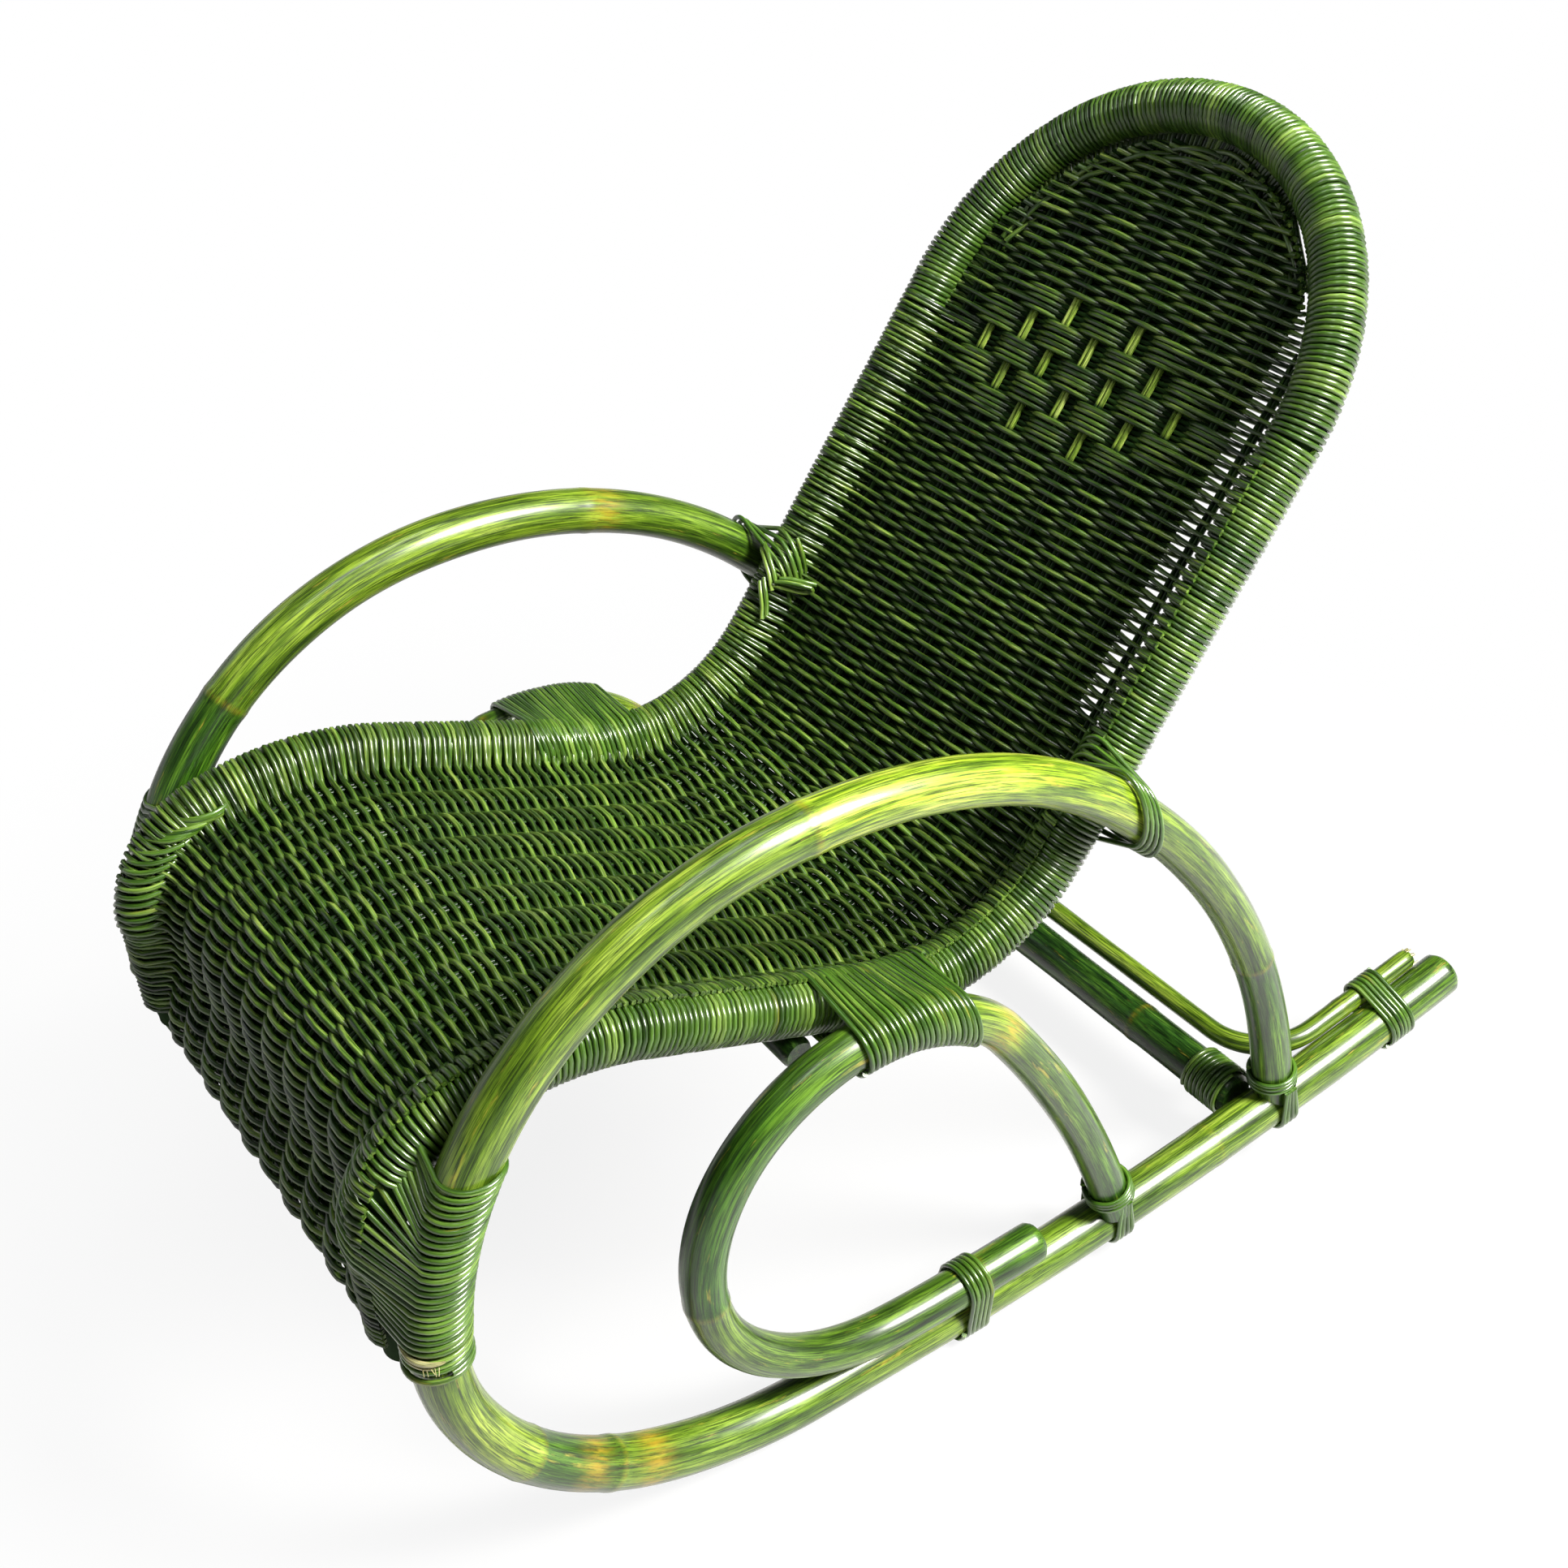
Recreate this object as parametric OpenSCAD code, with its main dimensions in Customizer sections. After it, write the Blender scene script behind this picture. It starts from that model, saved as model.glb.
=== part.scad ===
// Wicker rocking chair: two bent rattan side poles that are rocker, front leg, arm and rear leg in one,
// a wound hoop that carries a woven sling seat and back, two seat loops, crossbars and cane lashings.
// The side curves are drawn flat: u runs forward, v runs up, w runs across, away from the sitter's left.

/* [Widths] */
// Middle of one side pole from the chair's middle
side_x = 246; // [225:1:275]
// Distance that each seat loop stands outboard of its side pole
loop_out = 8; // [4:0.5:12]
// Clearance between pieces that touch
touch = 0.3; // [0.2:0.05:0.5]

/* [Poles] */
// Thickness of the rocker stretch of a side pole
rocker_d = 40; // [34:0.5:44]
// Thickness of the front leg and arm stretch
arm_d = 38; // [32:0.5:42]
// Thickness of the rear leg stretch
leg_d = 35; // [30:0.5:40]
// Thickness of a seat loop pole
loop_d = 34; // [28:0.5:38]
// Thickness of the hoop pole under its winding
hoop_d = 34; // [28:0.5:38]
// Thickness of the cane that is woven and wound
cane_d = 4.2; // [3.5:0.1:5]

/* [Side pole] */
// Radius of the long rocker curve
rocker_r = 2900; // [2400:50:3400]
// Length of the rocker behind its lowest point
rocker_tail = 430; // [380:5:480]
// Angle of the long rocker curve in front of its lowest point
rocker_fore_a = 5.9; // [5.9:0.1:6.2]
// Radius of the first toe bend
toe_r = 350; // [320:5:380]
// Angle of the first toe bend
toe_a = 24.1; // [22:0.1:26]
// Radius of the tight toe bend
toe_tight_r = 265; // [245:5:285]
// Angle of the tight toe bend
toe_tight_a = 44.5; // [42:0.5:47]
// Radius of the front leg curve
front_leg_r = 210; // [190:5:240]
// Angle of the front leg curve
front_leg_a = 23; // [20:0.5:26]
// Radius of the front of the arm
arm_front_r = 295; // [280:5:310]
// Angle of the front of the arm
arm_front_a = 80.5; // [78:0.5:83]
// Radius of the back of the arm
arm_back_r = 405; // [385:5:425]
// Angle of the back of the arm
arm_back_a = 46.5; // [44:0.5:49]
// Radius of the rear leg
rear_leg_r = 655; // [600:5:720]

/* [Seat loop] */
// Place along the rocker where the loop's front end rests
loop_rest_u = 72; // [60:1:90]
// Angle of the stretch that lies along the rocker
loop_lie_a = 2; // [1.5:0.1:2.5]
// Radius of the lift off the rocker
loop_lift_r = 615; // [560:5:670]
// Angle of the lift off the rocker
loop_lift_a = 5; // [4:0.5:6]
// Radius of the lower front bend
loop_low_r = 185; // [170:5:200]
// Angle of the lower front bend
loop_low_a = 46.5; // [43:0.5:49]
// Radius of the round top
loop_top_r = 150; // [142:1:158]
// Angle of the round top
loop_top_a = 184; // [180:1:188]
// Radius of the loop's rear leg
loop_leg_r = 975; // [800:25:1200]

/* [Hoop] */
// Place of the foot of the hoop's front leg, forward
hoop_foot_u = 573; // [568:1:578]
// Place of the foot of the hoop's front leg, up
hoop_foot_v = 265; // [255:1:275]
// Lean of the hoop's front leg
hoop_lean = 92; // [91:0.5:94]
// Straight length of the hoop's front leg
hoop_leg_l = 106; // [96:1:116]
// Radius of the knee
knee_r = 75; // [66:1:84]
// Angle of the knee
knee_a = 77.5; // [74:0.5:80]
// Radius of the crest behind the knee
crest_r = 240; // [220:5:260]
// Angle of the crest
crest_a = 35; // [32:0.5:38]
// Straight length of the seat rail
rail_l = 197; // [185:1:210]
// Radius of the bend between seat and back
bend_r = 156; // [146:1:166]
// Angle of the bend between seat and back
bend_a = 74; // [71:0.5:77]
// Straight length of the back below its round top
back_l = 340; // [320:1:360]

/* [Weave] */
// Thickness of the woven panel
weave_t = 12; // [11:0.5:15]
// Thickness of a lengthwise stake
stake_d = 6.5; // [5:0.5:7]
// Number of lengthwise stakes
stake_n = 10; // [8:2:12]
// Distance from the outermost stake to the edge of the panel
stake_edge = 16.5; // [14:0.5:20]
// Height of the foot of the woven apron over the middle of the front crossbar
apron_gap = 14; // [13:0.5:16]

/* [Bars] */
// Thickness of the rear crossbar
rear_bar_d = 38; // [30:0.5:42]
// Place of the rear crossbar, forward
rear_bar_u = -186; // [-190:1:-180]
// Height of the rear crossbar over the rocker's middle
rear_bar_lift = 5; // [0:0.5:8]
// Thickness of the front crossbar
front_bar_d = 26; // [22:0.5:28]
// Height of the front crossbar over the foot of the hoop
front_bar_up = 16; // [14:0.5:20]
// Thickness of the crossbar under the seat
seat_bar_d = 24; // [20:0.5:28]
// Place along the rail where the crossbar hangs under the seat, forward
seat_bar_u = 240; // [238:1:250]
// Thickness of the bent rear brace
brace_d = 19; // [16:0.5:22]
// Place of the brace's end lashing along the rocker
brace_end_u = -385; // [-400:1:-375]
// Radius of the brace's corner bend
brace_r = 62; // [56:1:68]
// Place of the brace's cross run, forward
brace_run_u = -217; // [-222:0.5:-216]

/* [Lashings] */
// Pitch of the strands in a lashing
lash_pitch = 4.9; // [4.7:0.1:5.2]
// Half the diagonal of a lashing strand
strand_r = 2.6; // [2:0.1:2.8]
// Turns of a tail lashing
tail_turns = 6; // [4:1:8]
// Place of the tail lashing's middle along the rocker
tail_lash_u = -352; // [-356:1:-348]
// Turns of a loop end lashing
loop_end_turns = 5; // [4:1:6]
// Place of the loop end lashing's middle along the rocker
loop_end_u = 146; // [140:1:150]
// Turns on each end of the rear crossbar
bar_turns = 8; // [6:1:9]
// Turns of an arm lashing
arm_turns = 4; // [3:1:5]
// Turns of the collar round a leg's foot
collar_turns = 3; // [2:1:4]
// Strands of the strap that ties a leg's foot to the rocker
strap_strands = 4; // [2:1:4]

/* [Hidden] */
$fa = 2;
$fs = 2.5;
pole_green = "olivedrab";
cane_green = "darkgreen";
lash_green = "forestgreen";
bar_green = "darkolivegreen";

thin_step = 0.1;
lap_l = 0.5;
// Thickness of the cane laid round a pole, and the radii that follow
wind_t = cane_d;
rim_r = hoop_d / 2 + touch + wind_t;
hoop_x = side_x - rocker_d / 2 - touch - rim_r;
panel_x = hoop_x - rim_r - 2 * touch;
loop_x = side_x + loop_out;
loop_lift = sqrt(pow((rocker_d + loop_d) / 2 + touch, 2) - pow(loop_out, 2));

// A pose is [u, v, heading]. A stretch is [radius, angle], left turns positive, or [0, length]
function after(p, s) =
    s[0] == 0 ? [p[0] + s[1] * cos(p[2]), p[1] + s[1] * sin(p[2]), p[2]] :
    s[1] > 0 ? [p[0] - s[0] * sin(p[2]) + s[0] * sin(p[2] + s[1]),
                p[1] + s[0] * cos(p[2]) - s[0] * cos(p[2] + s[1]), p[2] + s[1]] :
               [p[0] + s[0] * sin(p[2]) - s[0] * sin(p[2] + s[1]),
                p[1] - s[0] * cos(p[2]) + s[0] * cos(p[2] + s[1]), p[2] + s[1]];
function pose_after(p, segs, n, i = 0) = i >= n ? p : pose_after(after(p, segs[i]), segs, n, i + 1);
// Points along one stretch, about one for each degree
function stretch_points(p, s) =
    let (n = s[0] == 0 ? 1 : ceil(abs(s[1])))
    [for (k = [0 : n]) let (q = after(p, [s[0], s[1] * k / n + 1e-9])) [q[0], q[1]]];
function run_points(p, segs, i = 0) =
    i >= len(segs) ? [] : concat(stretch_points(p, segs[i]), run_points(after(p, segs[i]), segs, i + 1));

// Side pole from its tail: rocker, toe, front leg, arm, rear leg
tail_a = asin(rocker_tail / rocker_r);
pole_start = [-rocker_tail, rocker_r * (1 - cos(tail_a)), -tail_a];
rocker_segs = [[rocker_r, tail_a + rocker_fore_a], [toe_r, toe_a], [toe_tight_r, toe_tight_a]];
arm_start = pose_after(pole_start, rocker_segs, 3);
arm_segs = [[front_leg_r, front_leg_a], [arm_front_r, arm_front_a], [arm_back_r, arm_back_a]];
leg_start = pose_after(arm_start, arm_segs, 3);
// A leg is turned until its foot reaches down to the rocker's middle, and is then coped over the rocker
function leg_turn(p, r, low) = 360 - acos(-(low - p[1] - r * cos(p[2])) / r) - p[2];
rear_leg_segs = [[rear_leg_r, leg_turn(leg_start, rear_leg_r, rocker_d / 4)]];
rear_foot = after(leg_start, rear_leg_segs[0]);

// Seat loop from its end on the rocker
function rocker_v(u) = rocker_r - sqrt(pow(rocker_r, 2) - pow(u, 2));
loop_lie_r = rocker_r - loop_lift;
loop_rest_a = asin(loop_rest_u / rocker_r);
loop_start = [loop_lie_r * sin(loop_rest_a), rocker_r - loop_lie_r * cos(loop_rest_a), loop_rest_a];
loop_bends = [[loop_lie_r, loop_lie_a], [loop_lift_r, loop_lift_a], [loop_low_r, loop_low_a],
    [loop_top_r, loop_top_a]];
loop_leg_start = pose_after(loop_start, loop_bends, 4);
loop_leg_segs = [[loop_leg_r, leg_turn(loop_leg_start, loop_leg_r, rocker_d * 0.4)]];
loop_foot = after(loop_leg_start, loop_leg_segs[0]);

// Hoop from the foot of its front leg
hoop_start = [hoop_foot_u, hoop_foot_v, hoop_lean];
hoop_segs = [[0, hoop_leg_l], [knee_r, knee_a], [crest_r, crest_a], [0, rail_l], [bend_r, -bend_a],
    [0, back_l]];
crown_at = pose_after(hoop_start, hoop_segs, 6);
// The woven panel starts above the front crossbar
apron_cut = front_bar_up + apron_gap;
panel_start = after(hoop_start, [0, apron_cut]);
panel_segs = [[0, hoop_leg_l - apron_cut], hoop_segs[1], hoop_segs[2], hoop_segs[3], hoop_segs[4],
    hoop_segs[5]];
knee_at = after(hoop_start, hoop_segs[0]);
knee_segs = [for (i = [1 : 5]) hoop_segs[i]];

// Half the side of a lashing strand, and how far the underside of a loop end lashing lies below the
// rocker's middle. The chair leans forward until it stands on the rocker and on both these lashings,
// which are cut flat on the floor
wind_rings = 12;
strand_half = strand_r * cos(45);
wind_grow = 1 / cos(180 / wind_rings);
pair_rings = 14;
pair_steps = pair_rings / 2 - 1;
function pair_off(r1, t2) = touch + strand_half + (1 / cos((180 - t2) / pair_steps) - 1) * r1;
loop_tie_r = loop_d / 2 + 0.2;
loop_tie_t = acos((rocker_d / 2 - loop_tie_r) / norm([loop_lift, loop_out]));
lash_reach = (rocker_d / 2 + pair_off(rocker_d / 2, loop_tie_t)) * cos(atan2(loop_out, loop_lift));
lash_under = lash_reach + strand_half - rocker_d / 2;
foot_cut = 0.5;
rest_tilt = asin(loop_end_u / rocker_r) + acos(1 - (lash_under - foot_cut) / (rocker_r + rocker_d / 2));

// Rest pose: the highest, lowest, foremost and hindmost reach of the turned poles
function turned(q) = [q[0] * cos(rest_tilt) + q[1] * sin(rest_tilt),
                      q[1] * cos(rest_tilt) - q[0] * sin(rest_tilt)];
pole_line = [for (q = run_points(pole_start, concat(rocker_segs, arm_segs))) turned(q)];
crown_top = turned([crown_at[0] + hoop_x * cos(crown_at[2]), crown_at[1] + hoop_x * sin(crown_at[2])]);
floor_v = min([for (q = pole_line) q[1]]) - rocker_d / 2;
// Most forward is the leg winding, which goes up round the wound knee: the knee cut level at v, to r off
// its middle line, with a little more than that oval
leg_wind_gap = touch + 0.6;
leg_wind_top = knee_at[1] + 43;
knee_ease = 1;
knee_mid = [knee_at[0] - knee_r * sin(knee_at[2]), knee_at[1] + knee_r * cos(knee_at[2])];
function knee_cut(v, r) = sqrt(pow(knee_r + r, 2) - pow(v - knee_mid[1], 2));
fore_u = max([for (v = [knee_at[1] : 1 : leg_wind_top])
    turned([knee_mid[0] + knee_cut(v, rim_r) + knee_ease / 2 + leg_wind_gap + wind_t, v])[0]]);
tail_u = min([for (s = [-1, 1]) turned([pole_start[0] - s * rocker_d / 2 * sin(pole_start[2]),
                                        pole_start[1] + s * rocker_d / 2 * cos(pole_start[2])])[0]]);
mid_u = (fore_u + tail_u) / 2;

// The side plane at x, with u, v and w as its own X, Y and Z
module side_plane(x) {
    translate([x, mid_u, -floor_v]) rotate([90, 0, -90]) rotate([0, 0, -rest_tilt]) children();
}
// A flat section (n to the left of the heading, w across) carried along a run of stretches. A pole is
// never one thickness all along: every second stretch is thinner by $thin and laps into its neighbours
module run(segs, i = 0, odd = 0) {
    if (i < len(segs)) {
        r = segs[i][0];
        a = segs[i][1];
        $thin = (i + odd) % 2 * thin_step;
        lap = (i + odd) % 2 * lap_l;
        turn = r == 0 ? 0 : lap / r * 180 / PI;
        if (r == 0)
            translate([-lap, 0, 0]) rotate([90, 0, 90]) linear_extrude(a + 2 * lap) children();
        else if (a > 0)
            translate([0, r, 0]) rotate([0, 0, -90 - turn]) rotate_extrude(angle = a + 2 * turn)
                translate([r, 0]) mirror([1, 0]) children();
        else
            translate([0, -r, 0]) rotate([0, 0, 90 + a - turn]) rotate_extrude(angle = 2 * turn - a)
                translate([r, 0]) children();
        next = after([0, 0, 0], segs[i]);
        translate([next[0], next[1], 0]) rotate([0, 0, next[2]]) run(segs, i + 1, odd) children();
    }
}
module run_from(p, segs, odd = 0) {
    translate([p[0], p[1], 0]) rotate([0, 0, p[2]]) run(segs, 0, odd) children();
}
module pole_section(d) {
    circle(d / 2 - $thin);
}
module ring_section(r_out, r_in) {
    difference() {
        circle(r_out - $thin);
        circle(r_in + $thin);
    }
}
// The space that a leg's foot is coped to, round the rocker
module rocker_cope() {
    run_from(pole_start, [rocker_segs[0]]) pole_section(rocker_d + 2 * touch);
}

module side_pole(x) {
    color(pole_green) side_plane(x) {
        run_from(pole_start, rocker_segs) pole_section(rocker_d);
        run_from(arm_start, arm_segs, 1) pole_section(arm_d);
        difference() {
            run_from(leg_start, rear_leg_segs) pole_section(leg_d);
            rocker_cope();
        }
    }
}
module seat_loop(x) {
    sideways = x > 0 ? loop_out : -loop_out;
    color(pole_green) side_plane(x) {
        run_from(loop_start, loop_bends) pole_section(loop_d);
        difference() {
            run_from(loop_leg_start, loop_leg_segs) pole_section(loop_d);
            translate([0, 0, sideways]) rocker_cope();
        }
    }
}
// The half ring at the top of the back, with its middle at the top of the straight back
module crown(r_mid) {
    side_plane(0) translate([crown_at[0], crown_at[1], 0]) rotate([0, 0, crown_at[2]])
        rotate([-90, -90, 0]) rotate_extrude(angle = 180) translate([r_mid, 0]) children();
}
module hoop_pole() {
    color(bar_green) {
        for (x = [-hoop_x, hoop_x]) side_plane(x) run_from(hoop_start, hoop_segs) pole_section(hoop_d);
        crown(hoop_x) circle(d = hoop_d);
    }
}
module rim_winding(x) {
    color(cane_green) side_plane(x) run_from(knee_at, knee_segs) ring_section(rim_r, hoop_d / 2 + touch);
}
module crown_rim_winding() {
    $thin = thin_step;
    color(cane_green) crown(hoop_x) ring_section(rim_r, hoop_d / 2 + touch);
}

stake_pitch = 2 * (panel_x - stake_edge) / (stake_n - 1);
function stake_w(i) = (i - (stake_n - 1) / 2) * stake_pitch;
module panel_section() {
    difference() {
        square([weave_t - 2 * $thin, 2 * (panel_x - $thin)], center = true);
        for (i = [0 : stake_n - 1]) translate([0, stake_w(i)]) circle(stake_d / 2 + touch + $thin);
    }
}
module seat_weave() {
    flat_segs = concat([for (k = [0 : 4]) panel_segs[k]], [[0, back_l - lap_l - touch]]);
    edge = 7;
    color(cane_green) side_plane(0) difference() {
        run_from(panel_start, flat_segs) panel_section();
        // The bindings, the arm lashings and the leg windings pass through the weave's edge
        for (s = [-1, 1]) translate([0, 0, s * panel_x]) {
            translate([bind_from - 4, rail_v(bind_from) - 40, -edge])
                cube([bind_to - bind_from + 8, 130, 2 * edge]);
            translate([arm_cross[0], arm_cross[1], 0]) rotate([0, 0, crown_at[2]])
                translate([-26, -12, -edge]) cube([52, 24, 2 * edge]);
            translate([knee_at[0] - 60, knee_at[1] - 7, -edge])
                cube([90, leg_wind_top - knee_at[1] + 9, 2 * edge]);
        }
    }
}
module crown_weave() {
    color(cane_green) side_plane(0) translate([crown_at[0], crown_at[1], 0]) rotate([0, 0, crown_at[2]])
        difference() {
            rotate([90, 0, 0]) linear_extrude(weave_t, center = true) intersection() {
                circle(panel_x);
                translate([0, -panel_x]) square([panel_x, 2 * panel_x]);
            }
            for (i = [0 : stake_n - 1]) translate([-1, 0, stake_w(i)]) rotate([0, 90, 0])
                cylinder(h = panel_x + 2, r = stake_d / 2 + touch);
        }
}
module stakes() {
    color(bar_green) side_plane(0) for (i = [0 : stake_n - 1]) {
        top_l = sqrt(pow(panel_x, 2) - pow(stake_w(i), 2)) - stake_d;
        translate([0, 0, stake_w(i)])
            run_from(panel_start, concat([for (k = [0 : 4]) panel_segs[k]], [[0, back_l + top_l]]))
                pole_section(stake_d);
    }
}

module front_crossbar() {
    at = after(hoop_start, [0, front_bar_up]);
    color(bar_green) side_plane(0) translate([at[0], at[1], 0])
        cylinder(h = 2 * (hoop_x - rim_r - 3 * touch), d = front_bar_d, center = true);
}
// It is bound under both wound seat rails
module seat_crossbar() {
    color(bar_green) side_plane(0) translate([seat_bar_u, rail_v(seat_bar_u), 0]) rotate([0, 0, rail_at[2] - 180])
        translate([0, -(rim_r + seat_bar_d / 2 + touch), 0])
            cylinder(h = 2 * (hoop_x + 12), d = seat_bar_d, center = true);
}
rear_bar_v = rocker_v(rear_bar_u) + rear_bar_lift;
module rear_crossbar() {
    color(bar_green) side_plane(0) translate([rear_bar_u, rear_bar_v, 0])
        cylinder(h = 2 * (side_x - rocker_d / 2 - touch), d = rear_bar_d, center = true);
}

// The brace lies against the inner upper side of each rocker at the tail, bends in and runs across
brace_side = 45;
brace_off = (rocker_d + brace_d) / 2 + touch + 0.5;
brace_x = side_x - brace_off * cos(brace_side);
brace_v = rocker_v(brace_end_u) + brace_off * sin(brace_side);
brace_turn_u = brace_run_u - brace_r;
brace_fall = atan2(brace_v - rocker_v(brace_turn_u) - brace_off * sin(brace_side), brace_turn_u - brace_end_u);
module rear_brace() {
    run_l = (brace_run_u - brace_end_u) / cos(brace_fall) - brace_r;
    color(bar_green) side_plane(0) translate([brace_end_u, brace_v, 0]) rotate([0, 0, -brace_fall])
        for (s = [-1, 1]) {
            translate([-brace_d, 0, s * brace_x]) rotate([0, 90, 0]) cylinder(h = run_l + brace_d, d = brace_d);
            translate([run_l, 0, s * (brace_x - brace_r)]) rotate([s * 90, 0, 0]) rotate_extrude(angle = 90)
                translate([brace_r, 0]) circle(d = brace_d);
            translate([run_l + brace_r, 0, s > 0 ? 0 : -(brace_x - brace_r)])
                cylinder(h = brace_x - brace_r, d = brace_d);
        }
}

// A cord pulled round two round poles that may be cut on the slant: pair = [c1, a1, b1, c2, a2, b2] holds
// each pole's middle and its half widths. This is the point at angle t, gap off the poles
function oval_reach(t, a, b) = sqrt(pow(a * cos(t), 2) + pow(b * sin(t), 2));
function oval_point(t, a, b) = [a * a * cos(t), b * b * sin(t)] / oval_reach(t, a, b);
function wrap_point(t, pair, gap) =
    let (n = [cos(t), sin(t)], h1 = pair[0] * n + oval_reach(t, pair[1], pair[2]),
         h2 = pair[3] * n + oval_reach(t, pair[4], pair[5]))
    (h1 > h2 ? pair[0] + oval_point(t, pair[1], pair[2]) : pair[3] + oval_point(t, pair[4], pair[5])) + gap * n;

// A tube of four sides through rings of points: each ring is [middle, outward, along]
function tube_corner(ring, k) =
    ring[0] + strand_r * (cos(45 + 90 * k) * ring[1] + sin(45 + 90 * k) * ring[2]);
module tube(rings) {
    m = len(rings);
    points = [for (r = rings) for (k = [0 : 3]) tube_corner(r, k)];
    sides = [for (j = [0 : m - 2]) for (k = [0 : 3]) let (a = j * 4 + k, b = j * 4 + (k + 1) % 4)
        each [[a, a + 4, b + 4], [a, b + 4, b]]];
    last = (m - 1) * 4;
    ends = [[0, 1, 2], [0, 2, 3], [last + 2, last + 1, last], [last + 3, last + 2, last]];
    faces = concat(sides, ends);
    forward = cross(rings[0][1], rings[0][2]) * (rings[1][0] - rings[0][0]) > 0;
    polyhedron(points = points, faces = forward ? faces : [for (f = faces) [f[2], f[1], f[0]]]);
}
// The least distance between strands of one tube that lie a turn or more apart
function self_gap(rings, per_turn) =
    min([for (i = [0 : len(rings) - 1]) for (j = [i + per_turn - 1 : 1 : min(i + per_turn + 1, len(rings) - 1)])
        norm(rings[i][0] - rings[j][0])]) - 2 * strand_half;
module wound(turns, per_turn, rings, label) {
    echo(str(label, ", least gap to itself, mm: "), self_gap(rings, per_turn));
    tube(rings);
}
// A lashing along its own X round a pole of radius r, or round two, with their middles in (Y, Z)
module winding(turns, r, label) {
    off = touch + strand_half + (wind_grow - 1) * r;
    rings = [for (j = [0 : turns * wind_rings])
        let (t = 360 * j / wind_rings + 180 / wind_rings)
        [[(j / wind_rings - turns / 2) * lash_pitch, (r + off) * cos(t), (r + off) * sin(t)],
         [0, cos(t), sin(t)], [1, 0, 0]]];
    wound(turns, wind_rings, rings, label);
}
module pair_winding(turns, r1, c2, r2, label) {
    half_n = pair_rings / 2;
    axis = atan2(c2[1], c2[0]);
    t2 = acos((r1 - r2) / norm(c2));
    off = pair_off(r1, t2);
    rings = [for (j = [0 : turns * pair_rings])
        let (k = j % pair_rings, on_2 = k < half_n, f = (k % half_n) / pair_steps,
             t = on_2 ? axis - t2 + 2 * t2 * f : axis + t2 + (360 - 2 * t2) * f,
             r = (on_2 ? r2 : r1) + off)
        [[(j / pair_rings - turns / 2) * lash_pitch, (on_2 ? c2[0] : 0) + r * cos(t),
          (on_2 ? c2[1] : 0) + r * sin(t)], [0, cos(t), sin(t)], [1, 0, 0]]];
    wound(turns, pair_rings, rings, label);
}
module at_rocker(u) {
    translate([u, rocker_v(u), 0]) rotate([0, 0, asin(u / rocker_r)]) children();
}
module floor_block() {
    rotate([0, 0, rest_tilt]) translate([-1000, floor_v - 50, -400]) cube([2000, 50, 800]);
}

module tail_lashing(side) {
    lift = brace_off * sin(brace_side);
    across = side * brace_off * cos(brace_side);
    color(lash_green) side_plane(side * side_x) at_rocker(tail_lash_u)
        pair_winding(tail_turns, rocker_d / 2, [lift, across], brace_d / 2 + 0.5, "Tail lashing");
}
module loop_end_lashing(side) {
    color(lash_green) side_plane(side * side_x) difference() {
        at_rocker(loop_end_u)
            pair_winding(loop_end_turns, rocker_d / 2, [loop_lift, -side * loop_out], loop_tie_r,
                "Loop end lashing");
        floor_block();
    }
}
module bar_lashing(side) {
    off = bar_turns * lash_pitch / 2 + rocker_d / 2 + strand_r * 2 + 4;
    color(lash_green) side_plane(side * (side_x - off)) translate([rear_bar_u, rear_bar_v, 0])
        rotate([0, -90, 0])
            winding(bar_turns, rear_bar_d / 2, "Crossbar lashing");
}
// Where the arm crosses the wound rim of the back, the strands run round both on the slant between them
function turn_2d(a, b) = a[0] * b[1] - a[1] * b[0];
rim_dir = [cos(crown_at[2]), sin(crown_at[2])];
arm_cross_l = -turn_2d(rim_dir, [leg_start[0] - crown_at[0], leg_start[1] - crown_at[1]])
    / turn_2d(rim_dir, [cos(leg_start[2]), sin(leg_start[2])]);
arm_cross = after(leg_start, [0, arm_cross_l]);
arm_rings = 24;
module arm_lashing(side) {
    spread = tan((leg_start[2] - crown_at[2]) / 2);
    long = sqrt(1 + spread * spread);
    rings = [for (j = [0 : arm_turns * arm_rings])
        let (t = 360 * j / arm_rings + 180 / arm_rings, x = (j / arm_rings - arm_turns / 2) * lash_pitch,
             pair = [[x * spread, 0], (arm_d / 2 + 2.4) * long, arm_d / 2 + 1.2,
                     [-x * spread, side * (side_x - hoop_x)], (rim_r + 0.6) * long, rim_r + 0.6],
             p = wrap_point(t, pair, touch + strand_half + 1.9))
        [[x, p[0], p[1]], [0, cos(t), sin(t)], [1, 0, 0]]];
    color(lash_green) side_plane(side * side_x) translate([arm_cross[0], arm_cross[1], 0])
        rotate([0, 0, (leg_start[2] + crown_at[2]) / 2]) wound(arm_turns, arm_rings, rings, "Arm lashing");
}
module collar(foot, leg_r, r, side, x, label) {
    back = (rocker_d / 2 + collar_turns * lash_pitch / 2 + 6) / leg_r * 180 / PI;
    at = after(foot, [leg_r, -back]);
    p = [foot[0], foot[1], foot[2]];
    c = [p[0] - leg_r * sin(p[2]), p[1] + leg_r * cos(p[2])];
    q = [c[0] + leg_r * sin(p[2] - back), c[1] - leg_r * cos(p[2] - back)];
    color(lash_green) side_plane(x) translate([q[0], q[1], 0]) rotate([0, 0, p[2] - back])
        winding(collar_turns, r, label);
}
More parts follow.
